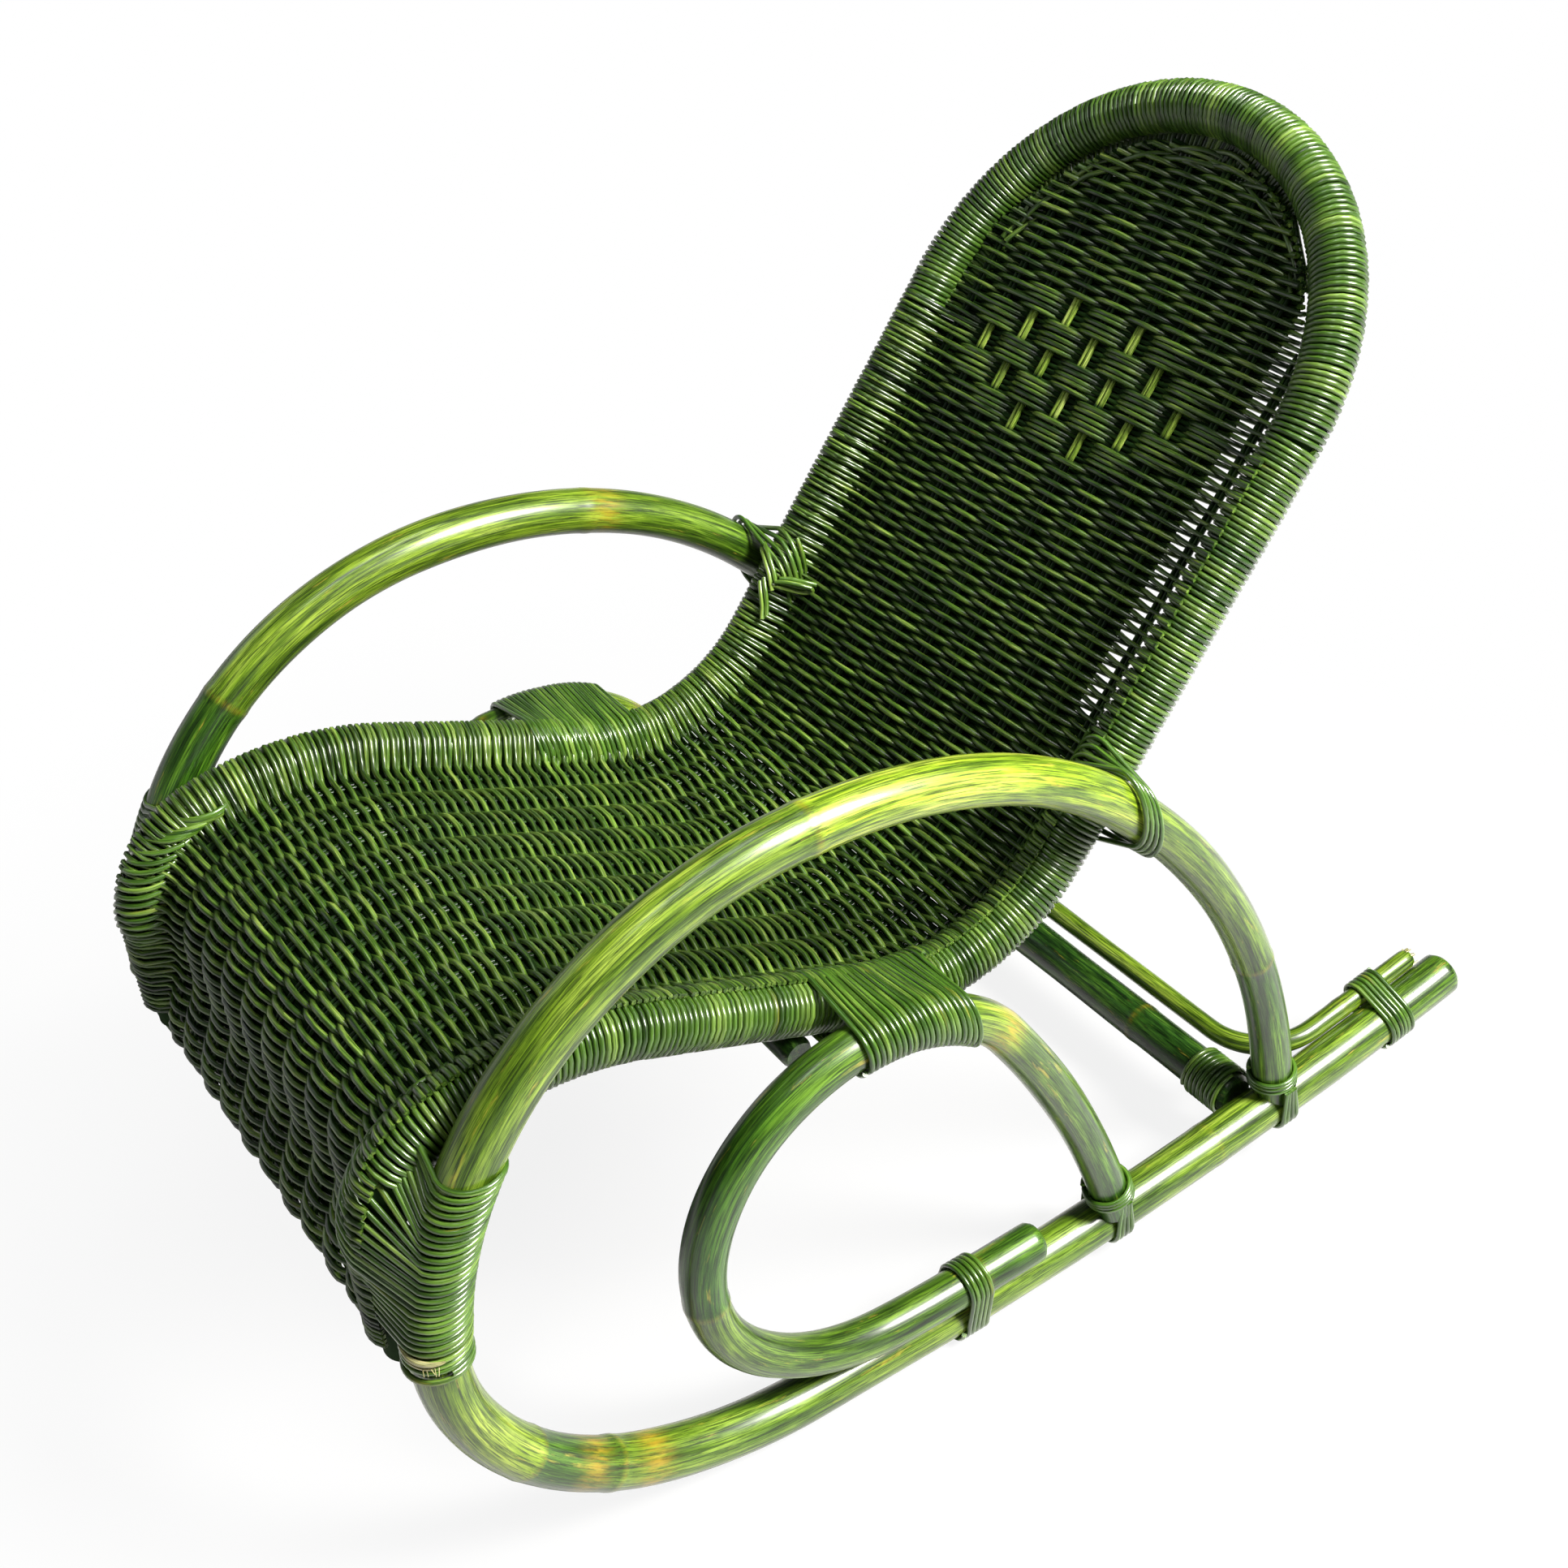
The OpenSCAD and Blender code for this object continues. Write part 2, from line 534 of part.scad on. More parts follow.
// Strands that tie a leg's foot down: from the outer side under the rocker and up to inner_t inside
strap_steps = 8;
module strap(u, side, inner_t) {
    low = -105;
    r = (rocker_d / 2 + touch + strand_half) / cos((inner_t - low) / strap_steps / 2);
    color(lash_green) side_plane(side * side_x) at_rocker(u) for (s = [0 : strap_strands - 1])
        tube([for (k = [0 : strap_steps])
            let (t = low + (inner_t - low) * k / strap_steps, x = (s - (strap_strands - 1) / 2) * lash_pitch)
            [[x, -r * cos(t), side * r * sin(t)], [0, -cos(t), side * sin(t)], [1, 0, 0]]]);
}

// A wound sleeve round two poles that drift apart: stations are [pair, place]
sleeve_n = 24;
module sleeve(stations, upright, grow) {
    m = len(stations);
    n = sleeve_n;
    function ring(s, gap) = [for (k = [0 : n - 1]) wrap_point(360 * (k + 0.5) / n, s[0], gap)];
    function lift(q, place) = upright ? [q[0], place, q[1]] : [place, q[0], q[1]];
    points = [for (gap = [grow + wind_t - 0.2, grow]) for (s = stations) for (q = ring(s, gap)) lift(q, s[1])];
    base = m * n;
    walls = [for (i = [0 : m - 2]) for (k = [0 : n - 1])
        let (a = i * n + k, b = i * n + (k + 1) % n, c = a + n, d = b + n)
        each [[a, c, d], [a, d, b], [base + a, base + d, base + c], [base + a, base + b, base + d]]];
    rims = [for (k = [0 : n - 1]) let (b = (k + 1) % n, t = (m - 1) * n)
        each [[k, b, base + b], [k, base + b, base + k],
              [t + k, base + t + b, t + b], [t + k, base + t + k, base + t + b]]];
    faces = concat(walls, rims);
    polyhedron(points = points, faces = upright ? [for (f = faces) [f[2], f[1], f[0]]] : faces);
}
// Place of the side pole at height v in the front leg, and of the hoop's leg
function front_u(v) =
    let (c1 = [arm_start[0] - front_leg_r * sin(arm_start[2]), arm_start[1] + front_leg_r * cos(arm_start[2])],
         p2 = after(arm_start, arm_segs[0]),
         c2 = [p2[0] - arm_front_r * sin(p2[2]), p2[1] + arm_front_r * cos(p2[2])])
    v < p2[1] ? c1[0] + sqrt(pow(front_leg_r, 2) - pow(v - c1[1], 2))
              : c2[0] + sqrt(pow(arm_front_r, 2) - pow(v - c2[1], 2));
function hoop_u(v) = v < knee_at[1] ? hoop_foot_u + (v - hoop_foot_v) / tan(hoop_lean) :
    knee_mid[0] + (knee_cut(v, rim_r) + knee_cut(v, -rim_r)) / 2;
function hoop_half(v) = v < knee_at[1] - 3 ? [hoop_d / 2, hoop_d / 2] :
    v < knee_at[1] ? [rim_r, rim_r] : [(knee_cut(v, rim_r) - knee_cut(v, -rim_r)) / 2 + knee_ease / 2, rim_r + knee_ease];
// How much longer a pole is where it is cut on the slant
function slant(before, behind) = sqrt(1 + pow((behind - before) / 2, 2));
leg_wind_steps = 4;
module leg_winding(side) {
    low = hoop_foot_v + 2;
    heights = concat([for (i = [0 : leg_wind_steps]) low + (knee_at[1] - 6 - low) * i / leg_wind_steps],
        [for (i = [0 : leg_wind_steps]) knee_at[1] - 2 + (leg_wind_top - knee_at[1] + 2) * i / leg_wind_steps]);
    stations = [for (v = heights)
        let (k = slant(front_u(v - 1), front_u(v + 1)), half = hoop_half(v))
        [[[front_u(v), 0], rocker_d / 2 * k, rocker_d / 2,
          [hoop_u(v), side * (side_x - hoop_x)], half[0], half[1]], v]];
    color(cane_green) side_plane(side * side_x) sleeve(stations, true, leg_wind_gap);
}
// The seat rail and the loop's top run side by side and are bound together
rail_at = pose_after(hoop_start, hoop_segs, 3);
bend_at = after(rail_at, hoop_segs[3]);
loop_top_at = pose_after(loop_start, loop_bends, 3);
loop_top_u = loop_top_at[0] - loop_top_r * sin(loop_top_at[2]);
loop_top_v = loop_top_at[1] + loop_top_r * cos(loop_top_at[2]);
function rail_v(u) = u > bend_at[0] ? rail_at[1] + (u - rail_at[0]) * tan(rail_at[2]) :
    bend_at[1] - bend_r * cos(bend_at[2]) - sqrt(pow(bend_r, 2) - pow(u - bend_at[0] - bend_r * sin(bend_at[2]), 2));
function loop_v(u) = loop_top_v + sqrt(pow(loop_top_r, 2) - pow(u - loop_top_u, 2));
bind_from = 136;
bind_to = 234;
bind_steps = 9;
module rail_binding(side) {
    stations = [for (i = [0 : bind_steps])
        let (u = bind_from + (bind_to - bind_from) * i / bind_steps,
             k1 = slant(loop_v(u - 1), loop_v(u + 1)), k2 = slant(rail_v(u - 1), rail_v(u + 1)))
        [[[loop_v(u), 0], loop_d / 2 * k1, loop_d / 2,
          [rail_v(u), side * (loop_x - hoop_x)], rim_r * k2, rim_r], u]];
    color(cane_green) side_plane(side * loop_x) sleeve(stations, false, touch + 1.1);
}

side_pole(side_x);  // left_side_pole
side_pole(-side_x);  // right_side_pole
seat_loop(loop_x);  // left_seat_loop
seat_loop(-loop_x);  // right_seat_loop
hoop_pole();
rim_winding(hoop_x);  // left_rim_winding
rim_winding(-hoop_x);  // right_rim_winding
crown_rim_winding();
seat_weave();
crown_weave();
stakes();
front_crossbar();
seat_crossbar();
rear_crossbar();
rear_brace();
leg_winding(1);  // left_leg_winding
leg_winding(-1);  // right_leg_winding
rail_binding(1);  // left_rail_binding
rail_binding(-1);  // right_rail_binding
tail_lashing(1);  // left_tail_lashing
tail_lashing(-1);  // right_tail_lashing
loop_end_lashing(1);  // left_loop_end_lashing
loop_end_lashing(-1);  // right_loop_end_lashing
bar_lashing(1);  // left_bar_lashing
bar_lashing(-1);  // right_bar_lashing
arm_lashing(1);  // left_arm_lashing
arm_lashing(-1);  // right_arm_lashing
collar(rear_foot, rear_leg_r, leg_d / 2, 1, side_x, "Rear leg collar");  // left_leg_collar
collar(rear_foot, rear_leg_r, leg_d / 2, -1, -side_x, "Rear leg collar");  // right_leg_collar
strap(rear_foot[0], 1, 45);  // left_leg_strap
strap(rear_foot[0], -1, 45);  // right_leg_strap
collar(loop_foot, loop_leg_r, loop_d / 2, 1, loop_x, "Loop collar");  // left_loop_collar
collar(loop_foot, loop_leg_r, loop_d / 2, -1, -loop_x, "Loop collar");  // right_loop_collar
strap(loop_foot[0], 1, 100);  // left_loop_strap
strap(loop_foot[0], -1, 100);  // right_loop_strap
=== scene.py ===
"""The looks of the rattan rocking chair: streaked green poles, wound rails, a woven sling and lashings."""

import math

import bpy
import numpy as np
from mathutils import Matrix


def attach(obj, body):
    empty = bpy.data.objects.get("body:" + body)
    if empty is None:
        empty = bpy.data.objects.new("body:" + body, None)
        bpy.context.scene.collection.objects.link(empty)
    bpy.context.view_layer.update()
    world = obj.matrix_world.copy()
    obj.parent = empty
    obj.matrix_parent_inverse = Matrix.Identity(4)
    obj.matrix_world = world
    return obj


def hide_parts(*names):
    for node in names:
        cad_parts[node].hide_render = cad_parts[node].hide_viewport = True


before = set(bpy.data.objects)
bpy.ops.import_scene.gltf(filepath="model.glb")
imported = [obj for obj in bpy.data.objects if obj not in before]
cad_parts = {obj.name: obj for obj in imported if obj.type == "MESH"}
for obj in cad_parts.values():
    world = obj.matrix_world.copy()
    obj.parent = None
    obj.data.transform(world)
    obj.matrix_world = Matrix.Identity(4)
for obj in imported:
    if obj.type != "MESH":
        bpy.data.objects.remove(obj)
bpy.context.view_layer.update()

# The side planes
# As in the CAD source, curves are drawn flat with u forward and v up, in mm, and the chair then leans
# forward to its rest pose. A pose is (u, v, heading in degrees). A stretch is (radius, angle) or (0, length).
MM = 0.001
REST_TILT = math.radians(5.778)
MID_U = 100.73
FLOOR_V = -34.73
SIDE_X = 246.0
LOOP_X = 254.0
HOOP_X = 204.2
ROCKER_R = 2900.0
ROCKER_RADIUS = 20.0
HOOP_RADIUS = 17.0
LOOP_RADIUS = 17.0
CANE_R = 2.15
CANE_GAP = 0.3
RIM_R = HOOP_RADIUS + CANE_GAP + 2 * CANE_R


def place(x, u, v):
    """Millimetres in the side plane at x to metres in the shared frame; takes numbers or arrays."""
    c, s = math.cos(REST_TILT), math.sin(REST_TILT)
    rear, height = MID_U - (u * c + v * s), v * c - u * s - FLOOR_V
    return np.stack(np.broadcast_arrays(np.asarray(x, float), rear, height), -1) * MM


def to_row(p):
    return place(p[:, 0], p[:, 1], p[:, 2])


def after(pose, stretch):
    """The pose at the end of a stretch: an arc to the left where the angle is positive, or a straight run."""
    u, v, h = pose
    r, a = stretch
    t = math.radians(h)
    if r == 0:
        return (u + a * math.cos(t), v + a * math.sin(t), h)
    k = math.radians(h + a)
    if a > 0:
        return (u - r * math.sin(t) + r * math.sin(k), v + r * math.cos(t) - r * math.cos(k), h + a)
    return (u + r * math.sin(t) - r * math.sin(k), v - r * math.cos(t) + r * math.cos(k), h + a)


def run_poses(pose, stretches, step=4.0):
    """Poses about every step mm along the stretches, as an array of (u, v, heading, length so far)."""
    rows = [(*pose, 0.0)]
    done = 0.0
    for r, a in stretches:
        length = a if r == 0 else r * math.radians(abs(a))
        n = max(1, round(length / step))
        for k in range(1, n + 1):
            rows.append((*after(pose, (r, a * k / n)), done + length * k / n))
        done += length
        pose = after(pose, (r, a))
    return np.array(rows)


TAIL_U = 430
TAIL_A = math.degrees(math.asin(TAIL_U / ROCKER_R))
POLE_START = (-float(TAIL_U), ROCKER_R * (1 - math.cos(math.radians(TAIL_A))), -TAIL_A)
POLE_RUN = [
    (ROCKER_R, TAIL_A + 5.9), (350, 24.1), (265, 44.5), (210, 23), (295, 80.5), (405, 46.5), (655, 42.5),
]
LOOP_START = (71.096, 37.315, 1.423)
LOOP_RUN = [(2863.6, 2.0), (615, 5), (185, 46.5), (150, 184), (975, 17.3)]
HOOP_START = (573.0, 265.0, 92.0)
LEG_TOP = 106
HOOP_RUN = [(0, LEG_TOP), (75, 77.5), (240, 35), (0, 197), (156, -74), (0, 340)]
RAIL_AT = HOOP_START
for stretch in HOOP_RUN[:3]:
    RAIL_AT = after(RAIL_AT, stretch)
CROWN_AT = RAIL_AT
for stretch in HOOP_RUN[3:]:
    CROWN_AT = after(CROWN_AT, stretch)
CROWN_H = math.radians(CROWN_AT[2])


def pole_v(u):
    """Height of the rocker's middle at u."""
    return ROCKER_R - math.sqrt(ROCKER_R**2 - u * u)


# Strands
# Everything wound, woven or bent is a set of polylines swept by one Geometry Nodes tree, which gives
# each a round section, an unevenness of its own and the vector attribute "grain" that the streaks follow.
def add(nodes, kind, inputs=None, **settings):
    """A new node with these settings, and with these values on its own sockets."""
    node = nodes.new(kind)
    for key, value in settings.items():
        setattr(node, key, value)
    for socket, value in (inputs or {}).items():
        node.inputs[socket].default_value = value
    return node


def put(name, data):
    """A new object of this data, in the scene."""
    obj = bpy.data.objects.new(name, data)
    bpy.context.scene.collection.objects.link(obj)
    return obj


def maths(tree, operation, a, b):
    """What a math node makes of two sockets."""
    node = add(tree.nodes, "ShaderNodeMath", operation=operation)
    tree.links.new(a, node.inputs[0])
    tree.links.new(b, node.inputs[1])
    return node.outputs[0]


def sweep_tree():
    """Sweeps a circle along each polyline, whose attributes thick and run give its size and grain."""
    tree = bpy.data.node_groups.new("Strand sweep", "GeometryNodeTree")
    face = tree.interface
    face.new_socket("Geometry", in_out="INPUT", socket_type="NodeSocketGeometry")
    for name, kind, value in (
        ("Sides", "NodeSocketInt", 6),
        ("Unevenness", "NodeSocketFloat", 0.0),
        ("Uneven scale", "NodeSocketFloat", 60.0),
        ("Seed", "NodeSocketFloat", 0.0),
        ("Material", "NodeSocketMaterial", None),
    ):
        socket = face.new_socket(name, in_out="INPUT", socket_type=kind)
        if value is not None:
            socket.default_value = value
    face.new_socket("Geometry", in_out="OUTPUT", socket_type="NodeSocketGeometry")
    n, link = tree.nodes, tree.links.new
    given, out = n.new("NodeGroupInput").outputs, n.new("NodeGroupOutput")

    def stored(name, kind):
        node = add(n, "GeometryNodeInputNamedAttribute", data_type=kind)
        node.inputs["Name"].default_value = name
        return node.outputs["Attribute"]

    def store(name, geometry, value):
        node = add(n, "GeometryNodeStoreNamedAttribute", data_type="FLOAT_VECTOR", domain="POINT")
        node.inputs["Name"].default_value = name
        link(geometry, node.inputs["Geometry"])
        link(value, node.inputs["Value"])
        return node.outputs["Geometry"]

    def scaled(vector, scale):
        node = add(n, "ShaderNodeVectorMath", operation="SCALE")
        link(vector, node.inputs[0])
        link(scale, node.inputs["Scale"])
        return node.outputs[0]

    curve = n.new("GeometryNodeMeshToCurve")
    link(given["Geometry"], curve.inputs["Mesh"])
    noise = add(n, "ShaderNodeTexNoise", noise_dimensions="4D")
    link(given["Uneven scale"], noise.inputs["Scale"])
    link(given["Seed"], noise.inputs["W"])
    middle = add(n, "ShaderNodeVectorMath", {1: (0.5, 0.5, 0.5)}, operation="SUBTRACT")
    link(noise.outputs["Color"], middle.inputs[0])
    moved = n.new("GeometryNodeSetPosition")
    link(curve.outputs[0], moved.inputs["Geometry"])
    link(scaled(middle.outputs[0], given["Unevenness"]), moved.inputs["Offset"])
    thick = stored("thick", "FLOAT")
    sized = n.new("GeometryNodeSetCurveRadius")
    link(moved.outputs[0], sized.inputs["Curve"])
    link(thick, sized.inputs["Radius"])
    ring = add(n, "GeometryNodeCurvePrimitiveCircle", mode="RADIUS")
    ring.inputs["Radius"].default_value = 1.0
    link(given["Sides"], ring.inputs["Resolution"])
    spot = n.new("GeometryNodeInputPosition")
    radius = n.new("GeometryNodeInputRadius")
    solid = add(n, "GeometryNodeCurveToMesh", {"Fill Caps": True})
    link(sized.outputs[0], solid.inputs["Curve"])
    link(store("ring", ring.outputs["Curve"], spot.outputs[0]), solid.inputs["Profile Curve"])
    link(radius.outputs[0], solid.inputs["Scale"])
    split = n.new("ShaderNodeSeparateXYZ")
    link(scaled(stored("ring", "FLOAT_VECTOR"), thick), split.inputs[0])
    grain = n.new("ShaderNodeCombineXYZ")
    link(stored("run", "FLOAT"), grain.inputs["X"])
    link(split.outputs["X"], grain.inputs["Y"])
    link(split.outputs["Y"], grain.inputs["Z"])
    smooth = n.new("GeometryNodeSetShadeSmooth")
    link(store("grain", solid.outputs[0], grain.outputs[0]), smooth.inputs["Geometry"])
    real = n.new("GeometryNodeRealizeInstances")
    link(smooth.outputs[0], real.inputs["Geometry"])
    painted = n.new("GeometryNodeSetMaterial")
    link(real.outputs[0], painted.inputs["Geometry"])
    link(given["Material"], painted.inputs["Material"])
    link(painted.outputs[0], out.inputs["Geometry"])
    return tree


SWEEP = sweep_tree()


def length_along(points):
    return np.concatenate([[0.0], np.cumsum(np.linalg.norm(np.diff(points, axis=0), axis=1))])


def strand(points, thick, joint=0.0, start=0.0, tone=0.4):
    """One polyline for sweep(): points in metres, its half thickness in mm, where its joints show, its own
    place in the streak pattern, and how much of the yellow-green stain it has."""
    points = np.asarray(points, float)
    thick, joint, tone = (np.zeros(len(points)) + each for each in (thick, joint, tone))
    return points, thick * MM, start + length_along(points), joint, tone


def sweep(name, strands, material, sides=6, uneven=0.0, scale=60.0, seed=1.0):
    """A plain mesh object of all the strands, riding on the root."""
    points, thick, run, joint, tone = (np.concatenate(part) for part in zip(*strands))
    edges, base = [], 0
    for line_points, *_ in strands:
        k = np.arange(len(line_points) - 1) + base
        edges.append(np.stack([k, k + 1], 1))
        base += len(line_points)
    line = bpy.data.meshes.new(name + "_lines")
    line.from_pydata(points.tolist(), np.concatenate(edges).tolist(), [])
    for key, values in (("thick", thick), ("run", run), ("joint", joint), ("tone", tone)):
        line.attributes.new(key, "FLOAT", "POINT").data.foreach_set("value", values.astype(np.float32))
    holder = put(name + "_lines", line)
    modifier = holder.modifiers.new("Sweep", "NODES")
    modifier.node_group = SWEEP
    wanted = {
        "Sides": sides, "Unevenness": uneven * MM, "Uneven scale": scale, "Seed": seed, "Material": material,
    }
    for item in SWEEP.interface.items_tree:
        if item.item_type == "SOCKET" and item.in_out == "INPUT" and item.name in wanted:
            modifier[item.identifier] = wanted[item.name]
    holder.update_tag()
    bpy.context.view_layer.update()
    shaped = holder.evaluated_get(bpy.context.evaluated_depsgraph_get())
    mesh = bpy.data.meshes.new_from_object(shaped)
    mesh.name = name
    holder.modifiers.remove(modifier)
    bpy.data.objects.remove(holder)
    bpy.data.meshes.remove(line)
    obj = put(name, mesh)
    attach(obj, "root")
    return obj


# Materials
# Every stem and strand is green-stained rattan under varnish: long fibres, blotches of deeper stain and
# yellow skin where the stain rubbed off, and warmer patches at its joints.
# The near-black canes between the woven rows, and the stakes where rows cover them, are painted shade.
RUBBED_SKIN = (0.50, 0.40, 0.05)
WARM_SKIN = (0.42, 0.27, 0.015)
STAIN_STOPS = (0.34, 0.50, 0.66)
FINE_STREAKS = [(0.41, (0.05, 0.09, 0.03)), (0.49, (0.58, 0.63, 0.50)), (0.57, (1.0, 1.0, 0.9))]
BROAD_STREAKS = [(0.38, (0.22, 0.30, 0.18)), (0.51, (0.80, 0.84, 0.76)), (0.62, (1.0, 1.0, 1.0))]
JOINT_PATCHES = [(0.40, (0.15, 0.15, 0.15)), (0.60, (1.0, 1.0, 1.0))]


def rattan(
    name, deep, bright, fibres=(22.0, 900.0), blotch=9.0, rough=0.3, coat=0.25, worn=0.35, contrast=0.85,
    shine=0.35,
):
    """deep and bright are three colours each, from the stain's darkest to its lightest, mixed by the tone.
    fibres are the streaks' scale along and across the strand, and blotch is the stain's."""
    mat = bpy.data.materials.new(name)
    mat.use_nodes = True
    n, link = mat.node_tree.nodes, mat.node_tree.links.new

    def attribute(key, output):
        return add(n, "ShaderNodeAttribute", attribute_name=key).outputs[output]

    grain = attribute("grain", "Vector")

    def noise(scale, detail, roughness):
        mapping = add(n, "ShaderNodeMapping", {"Scale": scale})
        link(grain, mapping.inputs["Vector"])
        texture = add(n, "ShaderNodeTexNoise", {"Scale": 1.0, "Detail": detail, "Roughness": roughness})
        link(mapping.outputs[0], texture.inputs["Vector"])
        return texture.outputs["Fac"]

    def ramp(source, stops):
        node = n.new("ShaderNodeValToRGB")
        elements = node.color_ramp.elements
        while len(elements) < len(stops):
            elements.new(0.5)
        for element, (at, colour) in zip(elements, stops):
            element.position = at
            element.color = (*colour, 1)
        link(source, node.inputs["Fac"])
        return node.outputs["Color"]

    def mix(kind, factor, a, b):
        node = add(n, "ShaderNodeMix", data_type="RGBA", blend_type=kind)
        for socket, value in ((node.inputs["Factor"], factor), (node.inputs[6], a), (node.inputs[7], b)):
            if isinstance(value, tuple):
                socket.default_value = (*value, 1)
            elif isinstance(value, float):
                socket.default_value = value
            else:
                link(value, socket)
        return node.outputs[2]

    along, across = fibres
    fine = noise((along, across, across), 5, 0.7)
    coarse = noise((along * 0.3, across * 0.25, across * 0.25), 3, 0.6)
    stain = noise((blotch, blotch * 12, blotch * 12), 5, 0.65)
    skin = noise((blotch * 2.2, blotch * 18, blotch * 18), 4, 0.7)
    low, high = (ramp(stain, list(zip(STAIN_STOPS, colours))) for colours in (deep, bright))
    body = mix("MIX", attribute("tone", "Fac"), low, high)
    colour = mix("MULTIPLY", contrast, body, ramp(fine, FINE_STREAKS))
    colour = mix("MULTIPLY", contrast, colour, ramp(coarse, BROAD_STREAKS))
    rubbed = ramp(skin, [(0.62, (0.0, 0.0, 0.0)), (0.72, (worn, worn, worn))])
    colour = mix("MIX", rubbed, colour, RUBBED_SKIN)
    patches = ramp(noise((50.0, 320.0, 320.0), 4, 0.65), JOINT_PATCHES)
    warm = maths(mat.node_tree, "MULTIPLY", attribute("joint", "Fac"), patches)
    colour = mix("MIX", warm, colour, WARM_SKIN)
    bump = add(n, "ShaderNodeBump", {"Strength": 0.3, "Distance": 0.0006})
    link(fine, bump.inputs["Height"])
    shader = n["Principled BSDF"]
    link(colour, shader.inputs["Base Color"])
    link(bump.outputs[0], shader.inputs["Normal"])
    shader.inputs["Roughness"].default_value = rough
    shader.inputs["Specular IOR Level"].default_value = shine
    shader.inputs["Coat Weight"].default_value = coat
    shader.inputs["Coat Roughness"].default_value = 0.22
    return mat


GREEN = ((0.007, 0.036, 0.003), (0.032, 0.115, 0.007), (0.10, 0.24, 0.018))
LIME = ((0.14, 0.25, 0.010), (0.38, 0.51, 0.03), (0.70, 0.76, 0.13))
LEAF = ((0.035, 0.10, 0.010), (0.16, 0.30, 0.035), (0.44, 0.56, 0.13))
WOUND = ((0.02, 0.065, 0.006), (0.09, 0.19, 0.02), (0.30, 0.44, 0.09))
# NIGHT is the stain's darkest. The stakes under the rows and the canes between the rows use it as painted
# shade.
NIGHT = ((0.004, 0.012, 0.003), (0.014, 0.042, 0.008), (0.05, 0.11, 0.02))
STEM = ((0.14, 0.24, 0.03), (0.36, 0.50, 0.08), (0.62, 0.72, 0.22))
STRAW = ((0.24, 0.20, 0.08), (0.52, 0.46, 0.22), (0.74, 0.68, 0.42))
STEM_FIBRES = (28.0, 1000.0)
SPLIT_FIBRES = (40.0, 1500.0)
CANE_FIBRES = (30.0, 1200.0)
POLE = rattan("pole_rattan", GREEN, LIME, STEM_FIBRES, blotch=9.0, rough=0.38, coat=0.8, worn=0.5, shine=0.25)
BAR = rattan("bar_rattan", NIGHT, GREEN, fibres=(45.0, 1000.0), blotch=13.0, rough=0.3, worn=0.3)
CANE = rattan("wound_cane", NIGHT, WOUND, CANE_FIBRES, blotch=1.3, coat=0.8, worn=0.3, contrast=0.7)
WEFT = rattan(
    "woven_cane", NIGHT, LEAF, fibres=(40.0, 1200.0), blotch=26.0, coat=0.55, worn=0.2, contrast=0.75,
    shine=0.3,
)
# The stakes' darkest colour is painted shade for their stretches under the rows.
STAKE = rattan(
    "stake_rattan", NIGHT, STEM, SPLIT_FIBRES, blotch=20.0, coat=0.1, worn=0.1, contrast=0.8, shine=0.12
)
LASH = rattan("lashing_cane", GREEN, LEAF, CANE_FIBRES, blotch=5.0, coat=0.8, worn=0.3, contrast=0.7)
# Painted shade: a near-black, dull cane material for the dark between the woven rows.
PAINTED_SHADE_MAT = rattan("painted_shade_cane", NIGHT, NIGHT, rough=0.8, coat=0.0, worn=0.0, shine=0.08)
PALE = rattan("bare_cane", STRAW, STRAW, SPLIT_FIBRES, blotch=20.0, worn=0.1, contrast=0.6)


# Side poles
# One tapering stem a side is rocker, toe, front leg, arm and rear leg. Its joints stand a little proud.
def table(length, rows):
    """Values at the lengths, between the rows of (length, value)."""
    return np.interp(length, [row[0] for row in rows], [row[1] for row in rows])


def pole_thickness(length, sizes):
    """Half thickness in mm, from (length, half thickness) pairs and a slight unevenness."""
    return table(length, sizes) + 0.25 * np.sin(length / 61.0) + 0.15 * np.sin(length / 23.0 + 1.0)


JOINT_SWELL = 0.8
JOINT_WIDTH = 5.0
JOINT_LINE = 2.0
PATCH_WIDTH = 13.0


def with_joints(length, radius, joints, warm=()):
    """Swollen rings at the given lengths, and how much orange-yellow shows there and at the warm patches."""
    shown = np.zeros_like(length)
    for at, size in joints:
        d = (length - at) / JOINT_WIDTH
        radius = radius + JOINT_SWELL * size * np.exp(-d * d)
        shown = np.maximum(shown, 0.30 * size * np.exp(-(((length - at) / JOINT_LINE) ** 2)))
    for at, size in warm:
        shown = np.maximum(shown, size * np.exp(-(((length - at) / PATCH_WIDTH) ** 2)))
    return radius, shown


def rounded(length, radius, both_ends=True, turn=5.0):
    """The radius drawn in at the sawn ends, or at the first only, so that their edges are softly rounded."""
    for inward in (length, length[-1] - length) if both_ends else (length,):
        radius = radius * np.sqrt(np.clip(1 - np.clip(1 - inward / turn, 0, 0.9) ** 2 * 0.35, 0.01, 1))
    return radius


POLE_SIZES = [(0, 20.2), (740, 20), (1100, 19.6), (1400, 19.2), (1750, 18.6), (2000, 17.8), (2500, 17.2)]
LEFT_TONES = [
    (0, 0.1), (150, 0.3), (300, 0.4), (430, 0.25), (600, 0.4), (780, 0.2), (918, 0.4), (920, 0.15),
    (1006, 0.05), (1008, 0.6), (1120, 0.45), (1300, 0.3), (1500, 0.45), (1613, 0.4), (1616, 1.0), (1890, 0.9),
    (1960, 0.45), (2120, 0.3), (2198, 0.25), (2202, 0.05), (2396, 0.1),
]
RIGHT_TONES = [
    (0, 0.3), (420, 0.3), (1000, 0.2), (1250, 0.0), (1393, 0.05), (1396, 0.3), (1600, 0.6), (1750, 0.4),
    (1900, 0.15), (2396, 0.15),
]
LEFT_JOINTS = [(300, 0.5), (919, 1.0), (1007, 0.7), (1614, 0.9), (2200, 0.8)]
RIGHT_JOINTS = [(420, 0.7), (860, 0.9), (1394, 0.8), (1740, 0.6), (2120, 0.8)]
